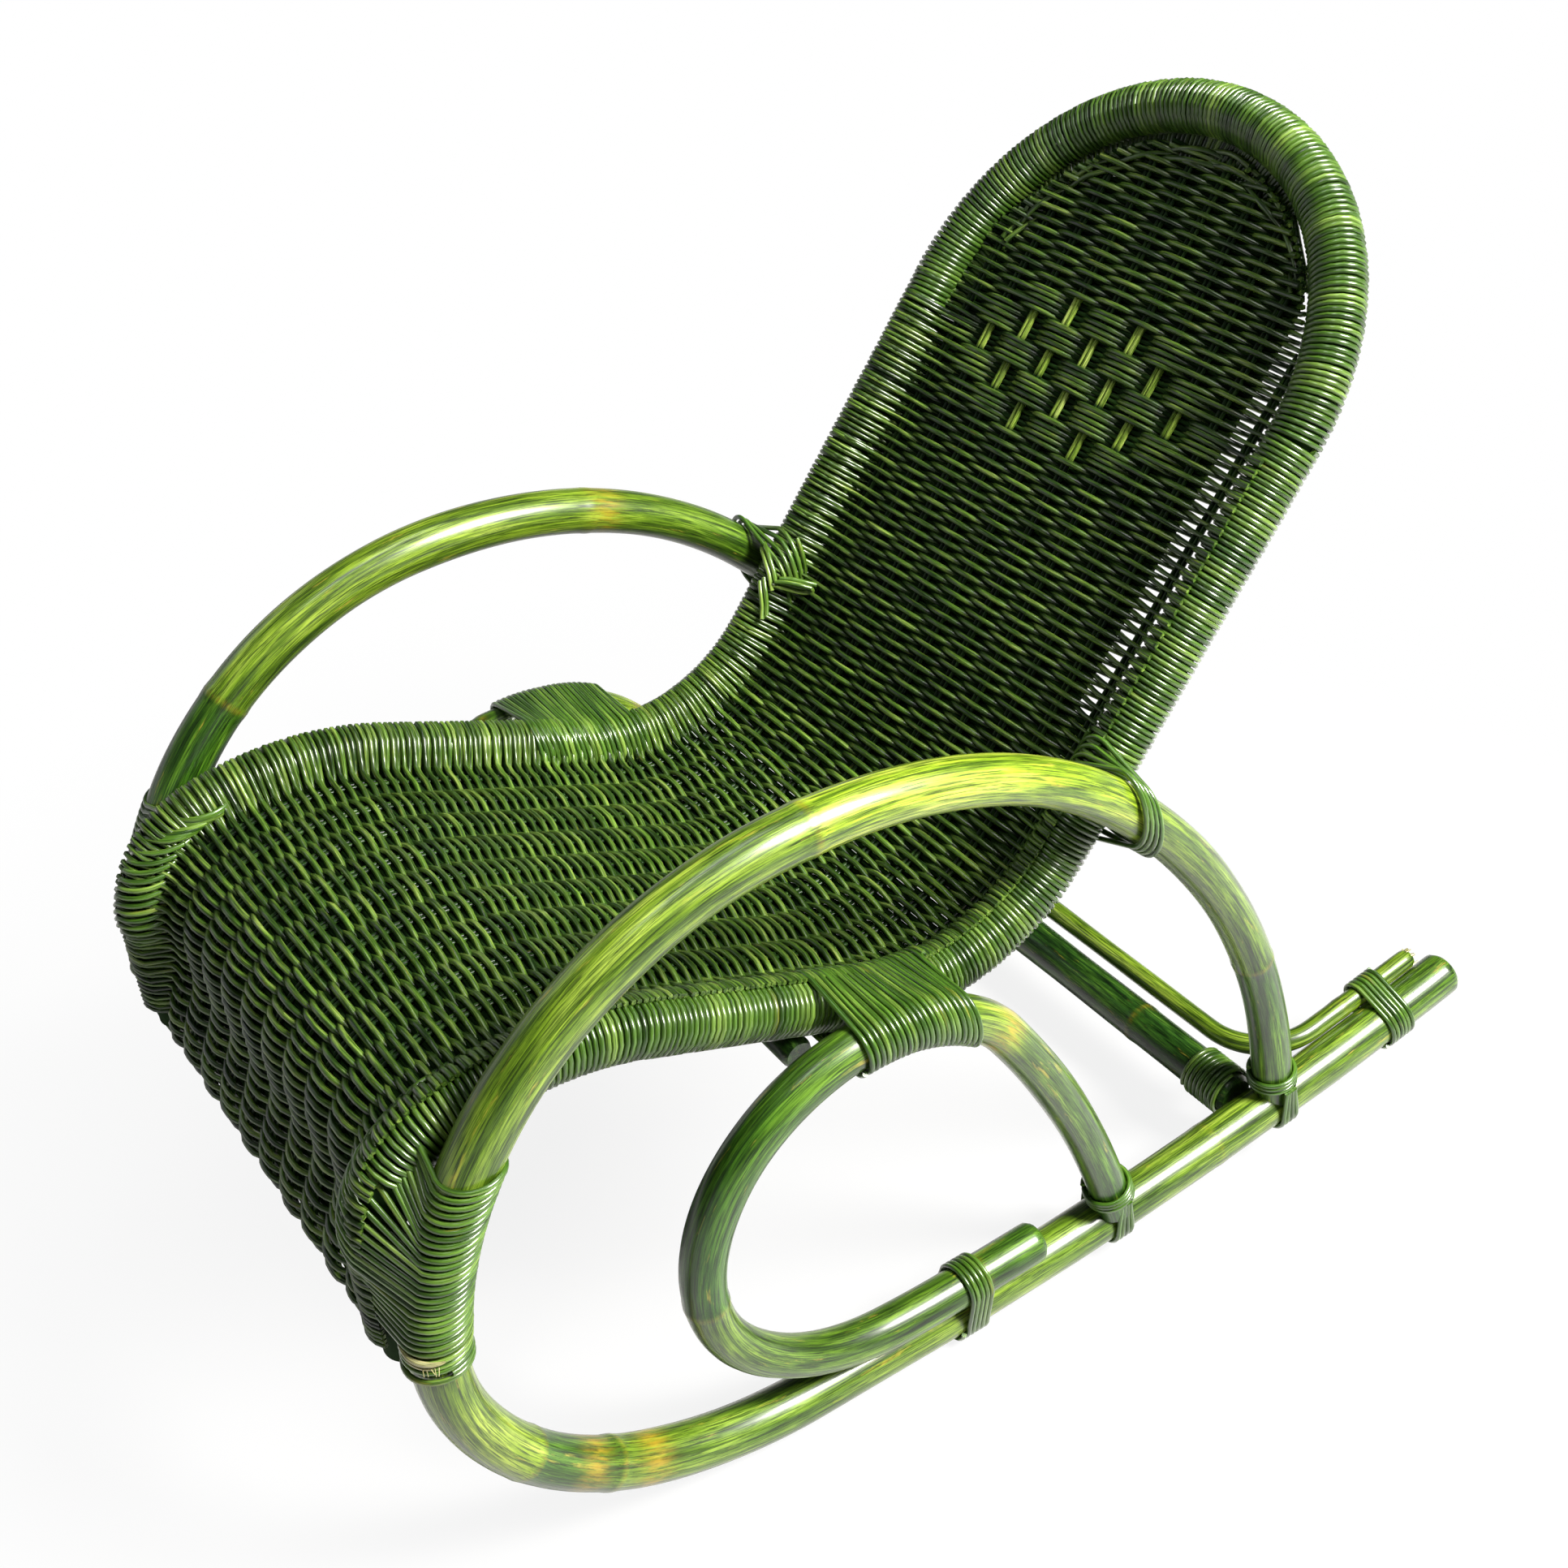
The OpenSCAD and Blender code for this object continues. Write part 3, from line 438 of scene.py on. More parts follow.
for side, name, joints, warm, tones in (
    (1, "left", LEFT_JOINTS, [(886, 0.6), (946, 0.6)], LEFT_TONES),
    (-1, "right", RIGHT_JOINTS, [(1752, 0.5)], RIGHT_TONES),
):
    poses = run_poses(POLE_START, POLE_RUN)
    length = poses[:, 3]
    radius, shown = with_joints(length, pole_thickness(length, POLE_SIZES), joints, warm)
    radius = rounded(length, radius, both_ends=False)
    middle = place(side * SIDE_X, poses[:, 0], poses[:, 1])
    line = strand(middle, radius, shown, side * 3.0 + 5.0, table(length, tones))
    pole = sweep(name + "_side_stem", [line], POLE, sides=28, seed=side)
    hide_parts(name + "_side_pole")

# Seat loops
# A shorter stem a side lies along the rocker, turns up and over beside the seat rail, and stands on the
# rocker again behind.
LOOP_SIZES = [(0, 17.2), (1500, 16.6)]
LOOP_TONES = [
    (0, 0.05), (120, 0.15), (383, 0.25), (387, 0.0), (560, 0.05), (690, 0.2), (775, 0.6), (800, 0.2),
    (1080, 0.0),
]
LOOP_WARM = [(766, 0.7)]
for side, name, joints in (
    (1, "left", [(60, 0.4), (385, 0.9), (640, 0.4)]),
    (-1, "right", [(130, 0.6), (610, 1.0)]),
):
    poses = run_poses(LOOP_START, LOOP_RUN)
    length = poses[:, 3]
    radius, shown = with_joints(length, pole_thickness(length, LOOP_SIZES), joints, LOOP_WARM)
    radius = rounded(length, radius, both_ends=False)
    middle = place(side * LOOP_X, poses[:, 0], poses[:, 1])
    line = strand(middle, radius, shown, side * 7.0 + 23.0, table(length, LOOP_TONES))
    loop = sweep(name + "_loop_stem", [line], POLE, sides=24, seed=side + 4)
    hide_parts(name + "_seat_loop")


# Wound rails
# One continuous cane is wound round each side of the hoop, from halfway round the knee, under the fan of
# the front winding, to the top of the back. Another is wound round the back's round top.
def crown_poses(step=4.0):
    """Points of the back's round top as (x, u, v, angle round it), from left to right."""
    rows = []
    for a in np.linspace(0, math.pi, int(math.pi * HOOP_X / step) + 1):
        x, s = HOOP_X * math.cos(a), HOOP_X * math.sin(a)
        rows.append((x, CROWN_AT[0] + s * math.cos(CROWN_H), CROWN_AT[1] + s * math.sin(CROWN_H), a))
    return np.array(rows)


def turn_by_turn(rng, count, per_turn, size):
    """A random amount for each turn of a winding, with an even change between turns."""
    key = np.arange(0, count + per_turn, per_turn)
    return np.interp(np.arange(count), key, rng.normal(0, size, len(key)))


def winding(centre, n_dir, w_dir, pitch, coil, per_turn=14, seed=0, wobble=0.25):
    """Points of a helix of that pitch and coil radius, in mm, round a centre line of dense points in mm."""
    rng = np.random.default_rng(seed)
    length = length_along(centre)
    count = int(length[-1] / pitch * per_turn)
    along = np.linspace(0, length[-1], count) + turn_by_turn(rng, count, per_turn, wobble)
    along = np.clip(along, 0, length[-1])
    middle, outward, sideways = (
        np.stack([np.interp(along, length, rows[:, k]) for k in range(3)], 1)
        for rows in (centre, n_dir, w_dir)
    )
    angle = (2 * math.pi * np.arange(count) / per_turn)[:, None]
    r = (coil + turn_by_turn(rng, count, per_turn, 0.12))[:, None]
    return middle + r * (np.cos(angle) * outward + np.sin(angle) * sideways)


def flat_centre(x, poses):
    """Centre, normal and across directions, in mm of (x, u, v), of a run in the side plane at x."""
    h = np.radians(poses[:, 2])
    centre = np.stack([np.full(len(poses), x), poses[:, 0], poses[:, 1]], 1)
    normal = np.stack([np.zeros(len(poses)), -np.sin(h), np.cos(h)], 1)
    return centre, normal, np.tile([1.0, 0.0, 0.0], (len(poses), 1))


COIL_R = HOOP_RADIUS + CANE_GAP + CANE_R
RAIL_PITCH = 4.55
RAIL_TONE = 0.75
RAIL_CANE_FROM = 48.0
wound = run_poses(after(HOOP_START, HOOP_RUN[0]), HOOP_RUN[1:])
wound = wound[wound[:, 3] > RAIL_CANE_FROM]
for side, name in ((1, "left"), (-1, "right")):
    centre, normal, across = flat_centre(side * HOOP_X, wound)
    helix = winding(centre, normal, across * side, RAIL_PITCH, COIL_R, seed=11 + side)
    line = strand(to_row(helix), CANE_R, tone=RAIL_TONE)
    rail = sweep(name + "_rail_cane", [line], CANE, sides=6, uneven=0.5, scale=300, seed=2 + side)
    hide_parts(name + "_rim_winding")
top = crown_poses()
rise = np.sin(top[:, 3])
normal = np.stack([np.cos(top[:, 3]), rise * math.cos(CROWN_H), rise * math.sin(CROWN_H)], 1)
across = np.tile([0.0, -math.sin(CROWN_H), math.cos(CROWN_H)], (len(top), 1))
helix = winding(top[:, :3], normal, across, RAIL_PITCH, COIL_R, seed=5)
line = strand(to_row(helix), CANE_R, tone=RAIL_TONE)
crown = sweep("crown_rail_cane", [line], CANE, sides=6, uneven=0.5, scale=300, seed=9)
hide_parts("crown_rim_winding")

# Woven sling
# Single canes run from rail to rail, in front of one lengthwise stake and behind the next, one row against
# the other, and climb onto the rails at their ends. The panel between lies a little behind the middle of
# the rails and ends over the front crossbar.
STAKES = 10
STAKE_PITCH = 36.8
ROW_PITCH = 4.66
WEFT_R = 2.5
WAVE = 4.7
WEFT_STEP = 5.8
FRONT_BAR_AT = 16.0
BAR_WRAP = 13.0
RECESS = 9.0
PANEL_START = after(HOOP_START, (0, FRONT_BAR_AT))
PANEL_RUN = [(0, LEG_TOP - FRONT_BAR_AT)] + HOOP_RUN[1:]
rail_poses = run_poses(PANEL_START, PANEL_RUN, step=2.0)
PANEL_L = rail_poses[-1, 3]
BESIDE_RAIL = HOOP_X - 14
ON_RAIL = HOOP_X + 2
BETWEEN_LEGS = HOOP_X - 26
ROUND_LEG = 12
ROUND_BAR_TO = 6
APRON_TO = 140
FOOT_L = 70
SLOPE_W = 24
CLIMB_FROM = 166
CLIMB_W = 22
CLIMB_R = RIM_R + 1.6
GATHER_FROM = 145
GATHER_W = 18
BACK_FROM = PANEL_L - 330
TOP_STRAIGHT = 40
# Size and depth of the painted-shade canes between the rows.
SHADE_ROW_R = 2.35
SHADE_ROW_BEHIND = 1.6
BORDER_R = 177.0
LIGHT_GAP_W = 143.0
LIGHT_GAP_FROM = PANEL_L - 250


def panel_point(s, w, n):
    """Points of the panel in metres: s mm along it from the front crossbar, w across, and n behind the
    rails' middle. Below the crossbar's middle the panel turns round it."""
    s, w, n = np.broadcast_arrays(np.asarray(s, float), np.asarray(w, float), np.asarray(n, float))
    u, v, heading = (np.interp(s, rail_poses[:, 3], rail_poses[:, k]) for k in range(3))
    t = np.radians(heading)
    turned = np.clip(-s / BAR_WRAP, 0, 2.6)
    over = np.clip(s - PANEL_L, 0, None)
    out = -n * np.cos(turned)
    down = n * np.sin(turned)
    u = u + over * np.cos(t) + out * np.sin(t) + down * np.cos(t)
    v = v + over * np.sin(t) - out * np.cos(t) + down * np.sin(t)
    return place(w, u, v)


def smooth_step(x):
    return x * x * (3 - 2 * x)


def recess(s, w, half):
    """How far behind the rails' middle the panel lies. At its edge it runs up to the rail's inner side, or
    over the rail's front where it is wider than the rails' middles, and at the foot to the bar's front."""
    edge = np.clip((np.abs(w) - (half - SLOPE_W)) / SLOPE_W, 0, 1)
    foot = smooth_step(np.clip(1 - s / FOOT_L, 0, 1))
    flat = RECESS * (1 - edge * edge) * (1 - foot) - BAR_WRAP * foot
    if half < HOOP_X:
        return flat
    on_rail = -np.sqrt(np.clip(CLIMB_R**2 - (np.abs(w) - HOOP_X) ** 2, 0, None))
    return flat + (on_rail - flat) * smooth_step(np.clip((np.abs(w) - CLIMB_FROM) / CLIMB_W, 0, 1))


BAND_ROWS = 5
LOZENGE_TOP = PANEL_L + 22 + 2.5 * ROW_PITCH
LOZENGE = [(3, 5), (2, 4, 6), (1, 3, 5, 7), (2, 4, 6), (3, 5)]


def sides_of(row, s):
    """For each stake 1 where the row passes in front of it and -1 where it passes behind. In the lozenge,
    five rows at a time pass alike and leave short bars of the stakes bare."""
    front = np.array([1.0 if (row + i) % 2 else -1.0 for i in range(STAKES)])
    band = int((LOZENGE_TOP - s) // (BAND_ROWS * ROW_PITCH)) if s <= LOZENGE_TOP else -1
    if 0 <= band < len(LOZENGE):
        for bare in LOZENGE[band]:
            front[bare - 1 : bare + 2] = (1, -1, 1)
    return front


def over_under(front, w):
    """The weave's height at w, in front 1 and behind -1, from its sides at the stakes."""
    at = np.asarray(w) / STAKE_PITCH + (STAKES - 1) / 2
    low = np.floor(at).astype(int)
    padded = np.concatenate([[-front[0]], front, [-front[-1]]])
    a, b = (padded[np.clip(low + k, 0, STAKES + 1)] for k in (1, 2))
    return a + (b - a) * smooth_step(np.clip((at - low - 0.5) * 1.35 + 0.5, 0, 1))


def weft(s, row, rng, half):
    """One cane across the panel. Towards the edges the rows draw together in pairs, most on the back. On the
    apron it goes further round the near leg."""
    right = half + (ROUND_LEG if ROUND_BAR_TO <= s < APRON_TO else 0)
    w = np.linspace(-half, right, int(2 * half / WEFT_STEP) + 1)
    fade = np.clip((min(half, BESIDE_RAIL) + 3 - np.abs(w)) / 14, 0, 1)
    n = recess(s, w, half) - WAVE * over_under(sides_of(row, s), w) * fade
    gather = np.clip((np.abs(w) - GATHER_FROM) / GATHER_W, 0, 1) * (1 if s > BACK_FROM else 0.3)
    pair = (1.0 if row % 2 else -1.0) * np.where(w > 0, 1.25, 0.8)
    lie = s + rng.normal(0, 0.3) + 0.45 * np.sin(w / 37.0 + rng.uniform(0, 6)) + gather * pair
    tone = np.clip(rng.normal(0.45, 0.18), 0.05, 1.0)
    thick = WEFT_R * rng.uniform(0.88, 1.04) * (1 - 0.22 * gather)
    return strand(panel_point(lie, w, n), thick, start=rng.uniform(0, 50), tone=tone)


def painted_shade_row(s, rng, half):
    """Painted shade: a near-black cane straight across at the stakes' depth, which closes the view between
    the others with the dark of shade. It stops short of the near rail on the back, where the photo shows
    light gaps."""
    half = min(half, BESIDE_RAIL)
    right = min(half, LIGHT_GAP_W) if s > LIGHT_GAP_FROM else half
    inward = np.linspace(0, 26, 6)
    w = np.concatenate([inward - half, [0.0], right - inward[::-1]])
    line = panel_point(s, w, recess(s, w, half) + SHADE_ROW_BEHIND)
    return strand(line, SHADE_ROW_R, start=rng.uniform(0, 50), tone=0.0)


def half_width(s):
    """Half the length of the weft at s: round the crossbar, from rail to rail, and in the round top."""
    over = s - PANEL_L
    if s < ROUND_BAR_TO:
        return BETWEEN_LEGS
    if over < -20:
        return ON_RAIL
    if over < TOP_STRAIGHT:
        return BESIDE_RAIL
    reach = math.sqrt(max(0.0, (BORDER_R - 2) ** 2 - over**2))
    return min(BESIDE_RAIL, reach + 14 * max(0.0, 1 - (over - TOP_STRAIGHT) / 60))


SPANS = (
    ("apron_canes", -30, 210, "front_crossbar"),
    ("seat_canes", 210, 470, "seat_weave"),
    ("seat_bend_canes", 470, PANEL_L - 230, None),
    ("back_canes", PANEL_L - 230, PANEL_L, None),
    ("crown_canes", PANEL_L, 9999, "crown_weave"),
)
FIRST_ROW = -6
LAST_ROW = int((PANEL_L + BORDER_R - 3) / ROW_PITCH)
painted_shade_rows = []
for index, (name, start, end, node) in enumerate(SPANS):
    rng = np.random.default_rng(20 + index)
    strands = []
    for row in range(FIRST_ROW, LAST_ROW):
        s = row * ROW_PITCH + 2
        if start <= s < end and half_width(s) > 20:
            strands.append(weft(s, row, rng, half_width(s)))
            if s > 20:
                painted_shade_rows.append(painted_shade_row(s + ROW_PITCH / 2, rng, half_width(s)))
    canes = sweep(name, strands, WEFT, sides=5, uneven=0.5, scale=150, seed=30 + index)
    if node:
        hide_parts(node)

# These near-black canes are painted shade that closes the gaps between the woven rows.
inner = sweep("painted_shade_canes", painted_shade_rows, PAINTED_SHADE_MAT, sides=5, uneven=0.3, scale=150, seed=49)

# Stakes and border
# Each stake is a pair of canes, bent round the front crossbar and ending under the border. The border is
# four canes twisted along the round top, with short canes from it to the rail.
PAIR_R = 2.1
STAKE_BEFORE = 1.4
strands = []
for k in range(STAKES):
    w = (k - (STAKES - 1) / 2) * STAKE_PITCH
    s = np.arange(-28, PANEL_L + math.sqrt(BORDER_R**2 - w * w), 4.0)
    band = np.floor((LOZENGE_TOP - s) / (BAND_ROWS * ROW_PITCH)).astype(int)
    # Tone 0 gives the stakes painted shade wherever the rows cover them. Only the bars left bare in the
    # lozenge take the full pale-green stain.
    bare = [0.95 if 0 <= b < len(LOZENGE) and k in LOZENGE[b] else 0.0 for b in band]
    for aside in (-PAIR_R, PAIR_R):
        line = panel_point(s, w + aside, recess(s, w, BESIDE_RAIL) - STAKE_BEFORE)
        strands.append(strand(line, PAIR_R, start=k * 2.7 + aside, tone=bare))
stakes = sweep("lengthwise_stakes", strands, STAKE, sides=8, uneven=0.6, scale=40, seed=50)
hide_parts("stakes")

BORDER_CANE_R = 2.4
BORDER_ARC = (-72, 54)
SHORT_ARC = (-96, 34)
SHORT_PITCH = 1.45
SHORT_REACH = (163, 202)
strands = []
for k in range(4):
    a = np.radians(np.linspace(*BORDER_ARC, 90))
    r = BORDER_R - 1 - 3.9 * k + 1.2 * np.sin(a * 13 + k * 2.1)
    n = RECESS - 1.5 - 4.2 * np.sin(a * 11 + k * 3.1)
    line = panel_point(PANEL_L + r * np.cos(a), r * np.sin(a), n)
    strands.append(strand(line, BORDER_CANE_R, start=3.0 * k, tone=0.35))
rng = np.random.default_rng(56)
outward = np.linspace(0, 1, 8)
for phi in np.arange(*SHORT_ARC, SHORT_PITCH):
    a = math.radians(phi) + 0.03 * outward
    r = np.linspace(*SHORT_REACH, 8)
    n = 11.5 + outward * -9.0 + rng.normal(0, 0.4)
    line = panel_point(PANEL_L + r * np.cos(a), r * np.sin(a), n)
    start = rng.uniform(0, 40)
    strands.append(strand(line, BORDER_CANE_R, start=start, tone=np.clip(rng.normal(0.4, 0.2), 0, 1)))
border = sweep("crown_border_canes", strands, WEFT, sides=6, uneven=1.2, scale=60, seed=57)


# Bars
# The straight and bent bars between the sides.
def bar(name, points, radius, material, start=0.0, joints=(), sides=20):
    points = np.asarray(points, float)
    length = length_along(points)
    dense = np.linspace(0, length[-1], max(2, int(length[-1] / 4)))
    line = np.stack([np.interp(dense, length, points[:, k]) for k in range(3)], 1)
    r, shown = with_joints(dense, pole_thickness(dense, [(0, radius), (length[-1], radius)]), joints)
    obj = sweep(name, [strand(to_row(line), rounded(dense, r), shown, start=start)], material, sides=sides)
    return obj


def crosswise(half, spot):
    """The two ends of a straight bar from side to side."""
    return [(-half, *spot), (half, *spot)]


REAR_BAR = (-186.0, pole_v(-186) + 5)
REAR_BAR_HALF, REAR_BAR_R = 225.5, 19
FRONT_BAR_HALF, FRONT_BAR_R = 185, 7
SEAT_BAR_HALF, SEAT_BAR_R = 216, 12
REAR_JOINTS = [(60, 0.5), (330, 0.8)]
rear = bar("rear_stretcher", crosswise(REAR_BAR_HALF, REAR_BAR), REAR_BAR_R, BAR, 31.0, REAR_JOINTS)
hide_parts("rear_crossbar")
bar("front_stretcher", crosswise(FRONT_BAR_HALF, PANEL_START[:2]), FRONT_BAR_R, BAR, 37.0)
SEAT_SLOPE = math.radians(24.5)
SEAT_BAR_U = 240.0
SEAT_BAR_BELOW = 33.9
rail_v = RAIL_AT[1] + (SEAT_BAR_U - RAIL_AT[0]) * math.tan(SEAT_SLOPE)
under = (SEAT_BAR_U + SEAT_BAR_BELOW * math.sin(SEAT_SLOPE), rail_v - SEAT_BAR_BELOW * math.cos(SEAT_SLOPE))
seat_bar = bar("seat_stretcher", crosswise(SEAT_BAR_HALF, under), SEAT_BAR_R, BAR, 41.0)
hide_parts("seat_crossbar")

BRACE_X, BRACE_U, BRACE_V = 224.6, -385, 47.1
BRACE_FALL, BRACE_BEND = math.radians(6.575), 62.0
BRACE_CROSS_U = -217
BRACE_END = -19
BRACE_R = 9.3


def brace_point(d, x):
    return (x, BRACE_U + d * math.cos(BRACE_FALL), BRACE_V - d * math.sin(BRACE_FALL))


straight = (BRACE_CROSS_U - BRACE_U) / math.cos(BRACE_FALL) - BRACE_BEND
half = [brace_point(d, BRACE_X) for d in np.arange(BRACE_END, straight, 5)]
for a in np.radians(np.arange(0, 91, 7.5)):
    half.append(brace_point(straight + BRACE_BEND * math.sin(a), BRACE_X - BRACE_BEND * (1 - math.cos(a))))
other = [(-x, u, v) for x, u, v in reversed(half)]
brace = bar("bent_brace", half + other, BRACE_R, POLE, 47.0, [(90, 0.6)], sides=16)
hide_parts("rear_brace")


# Pair windings
# A cane pulled tight round two poles that lie side by side, or round one, follows their common outline.
def outline(t, c1, r1, c2, r2, off):
    """Points of that outline at angles t, for middles c1 and c2 and half widths (a, b) of slant-cut poles."""
    n = np.stack([np.cos(t), np.sin(t)], -1)
    spots, reach = [], []
    for c, (a, b) in ((c1, r1), (c2, r2)):
        h = np.sqrt((a * np.cos(t)) ** 2 + (b * np.sin(t)) ** 2)
        spots.append(np.asarray(c) + np.stack([a * a * np.cos(t), b * b * np.sin(t)], -1) / h[..., None])
        reach.append(n @ np.asarray(c, float) + h if np.ndim(c) == 1 else (n * c).sum(-1) + h)
    pick = (reach[0] > reach[1])[..., None]
    return np.where(pick, spots[0], spots[1]) + n * off


def lashing(turns, pitch, c2, r1, r2, seed, start_t=0.0, side=1, per_turn=28):
    """A winding along its own X: middles at the origin and c2, in (up, across), of radius r1 and r2. Returns
    (along, up, across) in mm."""
    count = int(turns * per_turn) + 1
    t = start_t + 2 * math.pi * np.arange(count) / per_turn
    p = outline(t, (0.0, 0.0), (r1, r1), c2, (r2, r2), CANE_GAP + CANE_R)
    along = (np.arange(count) / per_turn - turns / 2) * pitch
    along = along + turn_by_turn(np.random.default_rng(seed), count, per_turn, 0.25)
    return np.stack([along, p[:, 0], side * p[:, 1]], 1)


def at_rocker(points, u, x):
    """(along, up, across) in mm to metres, on the rocker's middle at u. Across points away from +x."""
    a = math.asin(u / ROCKER_R)
    c, s = math.cos(a), math.sin(a)
    along, up, across = points.T
    return place(x - across, u + along * c - up * s, pole_v(u) + along * s + up * c)


def cane_ring(name, lines, starts, uneven=0.4):
    """Lashing canes of full thickness along lines in metres."""
    strands = [strand(line, CANE_R, start=at) for line, at in zip(lines, starts)]
    return sweep(name, strands, LASH, sides=8, uneven=uneven, scale=120)


LASH_PITCH = 4.7
TAIL_LASH_U = -352
BRACE_ASIDE = (21.4, 21.4)
BRACE_LASH_R = 9.6
LOOP_END_U = 146
LOOP_ASIDE = -8.0
LIFT = math.sqrt(37.3**2 - LOOP_ASIDE**2)
BAR_LASH_R = 19.3
BAR_TIE_X = SIDE_X - ROCKER_RADIUS - 4
BAR_TIE_IN = 22
for side, name in ((1, "left"), (-1, "right")):
    coil = lashing(
        6.5, LASH_PITCH, BRACE_ASIDE, ROCKER_RADIUS, BRACE_LASH_R, 60 + side, start_t=1.0, side=side,
    )
    tail = cane_ring(name + "_tail_canes", [at_rocker(coil, TAIL_LASH_U, side * SIDE_X)], [60 + side])
    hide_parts(name + "_tail_lashing")

    middle = (LIFT, LOOP_ASIDE)
    coil = lashing(5.4, LASH_PITCH, middle, ROCKER_RADIUS, LOOP_RADIUS, 70 + side, start_t=2.0, side=side)
    line = at_rocker(coil, LOOP_END_U, side * SIDE_X)
    line[:, 2] = np.maximum(line[:, 2], CANE_R * MM * 0.8)
    end = cane_ring(name + "_loop_end_canes", [line], [70 + side], uneven=0.3)
    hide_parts(name + "_loop_end_lashing")

    coil = lashing(8.3, LASH_PITCH, (0.0, 0.0), BAR_LASH_R, BAR_LASH_R, 80 + side)
    x = side * BAR_TIE_X - side * (coil[:, 0] + BAR_TIE_IN)
    line = place(x, REAR_BAR[0] + coil[:, 2], REAR_BAR[1] + coil[:, 1])
    tie = cane_ring(name + "_stretcher_canes", [line], [80 + side])
    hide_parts(name + "_bar_lashing")

# Leg feet
# Each rear leg and loop stands on the rocker: a collar of cane goes round its foot, and four straps from it
# pass down and under the rocker. A foot is its name, pose, bend, height of the collar, radius, x and how
# far its straps come up again on the inner side, in degrees from the bottom.
FEET = (
    ("leg", (-209.4, 10.0, 267.0), 655.0, 33.5, 17.4, SIDE_X, 60),
    ("loop", (-14.6, 16.0, 256.2), 975.0, 29.0, 17.0, LOOP_X, 128),
)
COLLAR_TURNS, COLLAR_PITCH = 3.6, 4.6
STRAP_R = ROCKER_RADIUS + CANE_GAP + CANE_R
STRAP_FROM = -128
STRAP_PITCH = 5.0
LEAVES_AT = 88
for side, name in ((1, "left"), (-1, "right")):
    for foot, pose, bend, high_up, radius, x, strap_to in FEET:
        t = math.radians(pose[2] - math.degrees(high_up / bend))
        f = math.radians(pose[2])
        u = pose[0] - bend * math.sin(f) + bend * math.sin(t)
        v = pose[1] + bend * math.cos(f) - bend * math.cos(t)
        coil = lashing(COLLAR_TURNS, COLLAR_PITCH, (0.0, 0.0), radius, radius, 90 + side, start_t=0.7)
        along, up, across = coil.T
        c, s = math.cos(t), math.sin(t)
        line = place(side * x - side * across, u + along * c - up * s, v + along * s + up * c)
        ring = cane_ring(f"{name}_{foot}_collar_canes", [line], [90 + side])
        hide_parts(f"{name}_{foot}_collar")
        lines, starts = [], []
        rng = np.random.default_rng(95 + side)
        for k in range(4):
            degrees = np.linspace(STRAP_FROM, strap_to, 26)
            a = np.radians(degrees)
            past = np.clip(np.abs(degrees) - LEAVES_AT, 0, None)
            up = np.where(past > 0, past * 0.75 + 0.5, -STRAP_R * np.cos(a))
            out = np.where(past > 0, np.sign(a) * STRAP_R, STRAP_R * np.sin(a))
            along = (k - 1.5) * STRAP_PITCH + rng.normal(0, 0.4) + (1.5 - k) * 0.05 * past
            lines.append(at_rocker(np.stack([along, up, side * out], 1), pose[0], side * SIDE_X))
            starts.append(rng.uniform(0, 40))
        tie = cane_ring(f"{name}_{foot}_strap_canes", lines, starts)
        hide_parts(f"{name}_{foot}_strap")

# Front leg windings
# Pole and hoop leg are wound together from below the front crossbar to the knee, and a few turns go round
# the pole alone below that.
POLE_R = (20.4, 20.0)
BROAD_TURN = 32
LEG_V = (314.0, 436.0)
LEG_PITCH = 4.85
KNEE_V = 452.0
LEG_RINGS = ((287.0, 1.6, CANE_R), (296.0, 2.6, 1.8), (306.0, 1.4, CANE_R))
RING_PITCH = 4.4
pole_poses = run_poses(POLE_START, POLE_RUN, step=1.0)
front_part = pole_poses[(pole_poses[:, 0] > 480) & (pole_poses[:, 1] > 120)]
knee_part = run_poses(HOOP_START, HOOP_RUN[:2], step=1.0)
knee_part = knee_part[knee_part[:, 1] <= KNEE_V]


def front_u(v):
    return np.interp(v, front_part[:, 1], front_part[:, 0])


def hoop_u(v):
    return np.interp(v, knee_part[:, 1], knee_part[:, 0])


for side, name in ((1, "left"), (-1, "right")):
    k = np.arange(int((LEG_V[1] - LEG_V[0]) / LEG_PITCH * BROAD_TURN) + 1)
    t = 2 * math.pi * k / BROAD_TURN + 2.4
    v = LEG_V[0] + k / BROAD_TURN * LEG_PITCH
    v = v + turn_by_turn(np.random.default_rng(100 + side), len(k), BROAD_TURN, 0.3)
    lift = np.interp(v, (314.0, 350.0, 400.0, 436.0), (0.0, 20.0, 34.0, 12.0))
    reach = np.interp(v + lift, (345.0, 371.0), (17.4, 22.6))
    across = SIDE_X - HOOP_X
    c1 = np.stack([front_u(v), 0 * v], 1)
    c2 = np.stack([hoop_u(np.minimum(v + lift, KNEE_V)), np.full(len(v), across)], 1)
    p = outline(t, c1, POLE_R, c2, (reach, reach), 0.5 + CANE_R)
    climb = np.clip((p[:, 1] + 6) / (across + 6), 0, 1.1)
    line = place(side * (SIDE_X - p[:, 1]), p[:, 0], v + lift * climb**1.7)
    line = strand(line, CANE_R, start=100 + side * 3, tone=0.5)
    wrap = sweep(name + "_leg_canes", [line], LASH, sides=7, uneven=0.5, scale=160, seed=3 + side)
    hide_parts(name + "_leg_winding")

    rings = []
    for at, turns, r in LEG_RINGS:
        k = np.arange(int(turns * BROAD_TURN) + 1)
        v = at + k / BROAD_TURN * RING_PITCH
        c1 = np.stack([front_u(v), 0 * v], 1)
        p = outline(2 * math.pi * k / BROAD_TURN + 1.0, c1, POLE_R, c1, POLE_R, CANE_GAP + r)
        line = place(side * (SIDE_X - p[:, 1]), p[:, 0], v)
        rings.append(strand(line, r, start=at, tone=0.6))
    low = sweep(name + "_leg_ring", rings, LASH, sides=7, uneven=0.4, scale=160, seed=13 + side)

